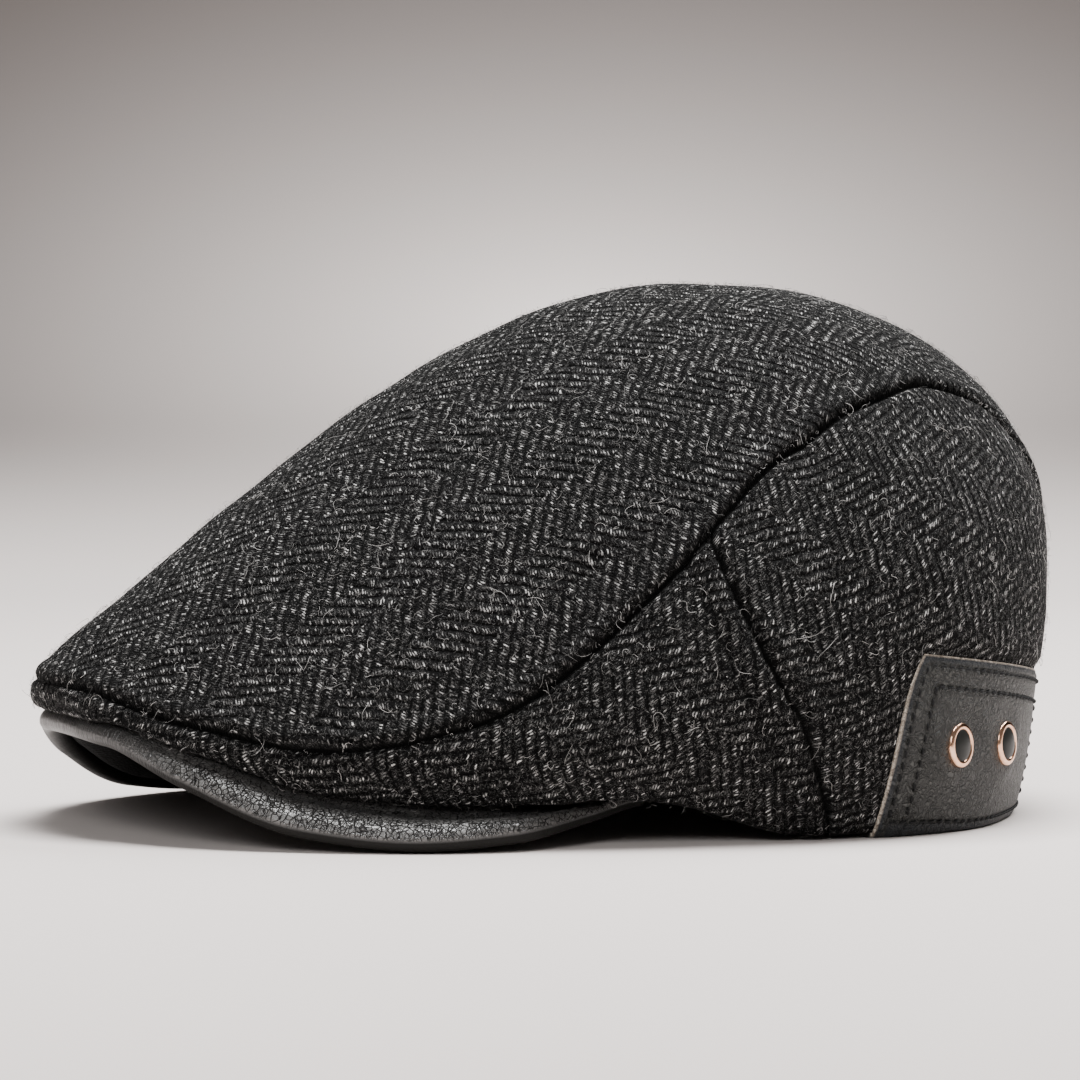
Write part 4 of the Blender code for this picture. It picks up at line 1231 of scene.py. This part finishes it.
def makeFuzz():
    # short bent hairs that stand off the cloth and blur its outline
    rng = np.random.default_rng(33)
    turn, height = crownPlaces(fibreLook["fuzz"], rng)
    root, normal = clothPoint(turn, height, np.zeros(len(turn))), crownNormal(turn, height)
    count, steps = len(turn), 3
    lean = unit(normal * rng.uniform(0.4, 1.2, (count, 1)) + rng.normal(0, 0.6, (count, 3)))
    bend = rng.normal(0, 0.00022, (count, 3))
    length = rng.uniform(0.0006, 0.0017, (count, 1))
    share = np.linspace(0, 1, steps)[None, :, None]
    line = root[:, None] + lean[:, None] * length[:, None] * share + bend[:, None] * share**2
    line[..., 2] = np.maximum(line[..., 2], 0.0002)
    along = unit(np.gradient(line, axis=1))
    side = unit(np.cross(along, rng.normal(size=(count, 1, 3))))
    up = np.cross(side, along)
    angle = np.linspace(0, 2 * np.pi, 4)[:-1]
    girth = (fibreLook["fuzzRadius"] * (1.2 - share))[..., None]
    points = line[:, :, None] + (side[:, :, None] * np.cos(angle)[:, None] + up[:, :, None] * np.sin(angle)[:, None]) * girth
    piece = makeMesh("darkFuzz", points, tubeFaces(count, steps, 3), darkFibre)
    finishPiece(piece, "tweed")


makeCurls("longFibres", fibreLook["long"], 21)
makeCurls("shortFibres", fibreLook["short"], 22)
makeCurls("shortFibresToo", fibreLook["short"], 23)
makeFuzz()
print("fibres made")

# Stage, light and camera

def cameraAxes():
    turn, rise = np.radians(stageLook["turn"]), np.radians(stageLook["rise"])
    back = np.array([np.cos(turn) * np.cos(rise), -np.sin(turn) * np.cos(rise), np.sin(rise)])
    right = np.array([np.sin(turn), np.cos(turn), 0.0])
    return back, right, np.cross(back, right)


def makeSweep():
    # floor that curves up into a wall behind the cap: a straight run, a quarter circle, a straight run
    back, right, _ = cameraAxes()
    flatBack = unit(np.array([back[0], back[1], 0.0]))
    bend, start = 0.5, 0.85
    angle = np.linspace(0, np.pi / 2, 33)
    away = np.concatenate([[-3.0], np.linspace(-1.0, start, 12), start + bend * np.sin(angle[1:]), [start + bend]])
    high = np.concatenate([[0.0], np.zeros(12), bend - bend * np.cos(angle[1:]), [3.5]])
    side = np.linspace(-3, 3, 13)
    points = -flatBack * away[:, None, None] + right * side[None, :, None] + np.array([0, 0, 1.0]) * high[:, None, None]
    floor = makeMesh("paleSweep", points, gridFaces(*points.shape[:2]), makeStage())


def addLight(name, place, aim, size, power, colour=(1, 1, 1)):
    light = bpy.data.lights.new(name, "AREA")
    light.shape = "RECTANGLE"
    light.size, light.size_y = size
    light.energy = power
    light.color = colour
    thing = bpy.data.objects.new(name, light)
    thing.location = place
    thing.rotation_euler = (Vector(aim) - Vector(place)).to_track_quat("-Z", "Y").to_euler()
    bpy.context.scene.collection.objects.link(thing)


def makeStudio():
    back, right, up = cameraAxes()
    aim = np.array([0.0, 0.0, 0.05])
    z = np.array([0, 0, 1.0])
    addLight("topSoftbox", aim - back * 0.10 + z * 1.2 + right * 0.10, aim, (0.75, 0.6), 36)
    addLight("rearSoftbox", aim - back * 0.55 + z * 0.9 + right * 0.75, aim, (0.6, 0.5), 14)
    addLight("frontFill", aim + back * 1.5 + z * 0.9 - right * 0.5, aim, (1.0, 0.8), 13)
    addLight("wallGlow", aim - back * 0.2 + z * 1.6, aim - back * 1.3 + z * 0.35, (1.0, 0.6), 10)
    world = bpy.data.worlds.new("studioAir")
    world.use_nodes = True
    world.node_tree.nodes["Background"].inputs["Color"].default_value = (0.80, 0.76, 0.74, 1.0)
    world.node_tree.nodes["Background"].inputs["Strength"].default_value = 0.20
    bpy.context.scene.world = world


def makeCamera():
    back, right, up = cameraAxes()
    aim = right * stageLook["aimRight"] + np.array([0, stageLook["aimAhead"], stageLook["aimUp"]])
    camera = bpy.data.cameras.new("photoCamera")
    camera.lens, camera.sensor_width = stageLook["lens"], 36.0
    camera.clip_start, camera.clip_end = 0.01, 30.0
    thing = bpy.data.objects.new("photoCamera", camera)
    thing.location = aim + back * stageLook["distance"]
    thing.rotation_euler = Vector(-back).to_track_quat("-Z", "Y").to_euler()
    bpy.context.scene.collection.objects.link(thing)
    bpy.context.scene.camera = thing


makeSweep()
makeStudio()
makeCamera()
print("stage made")
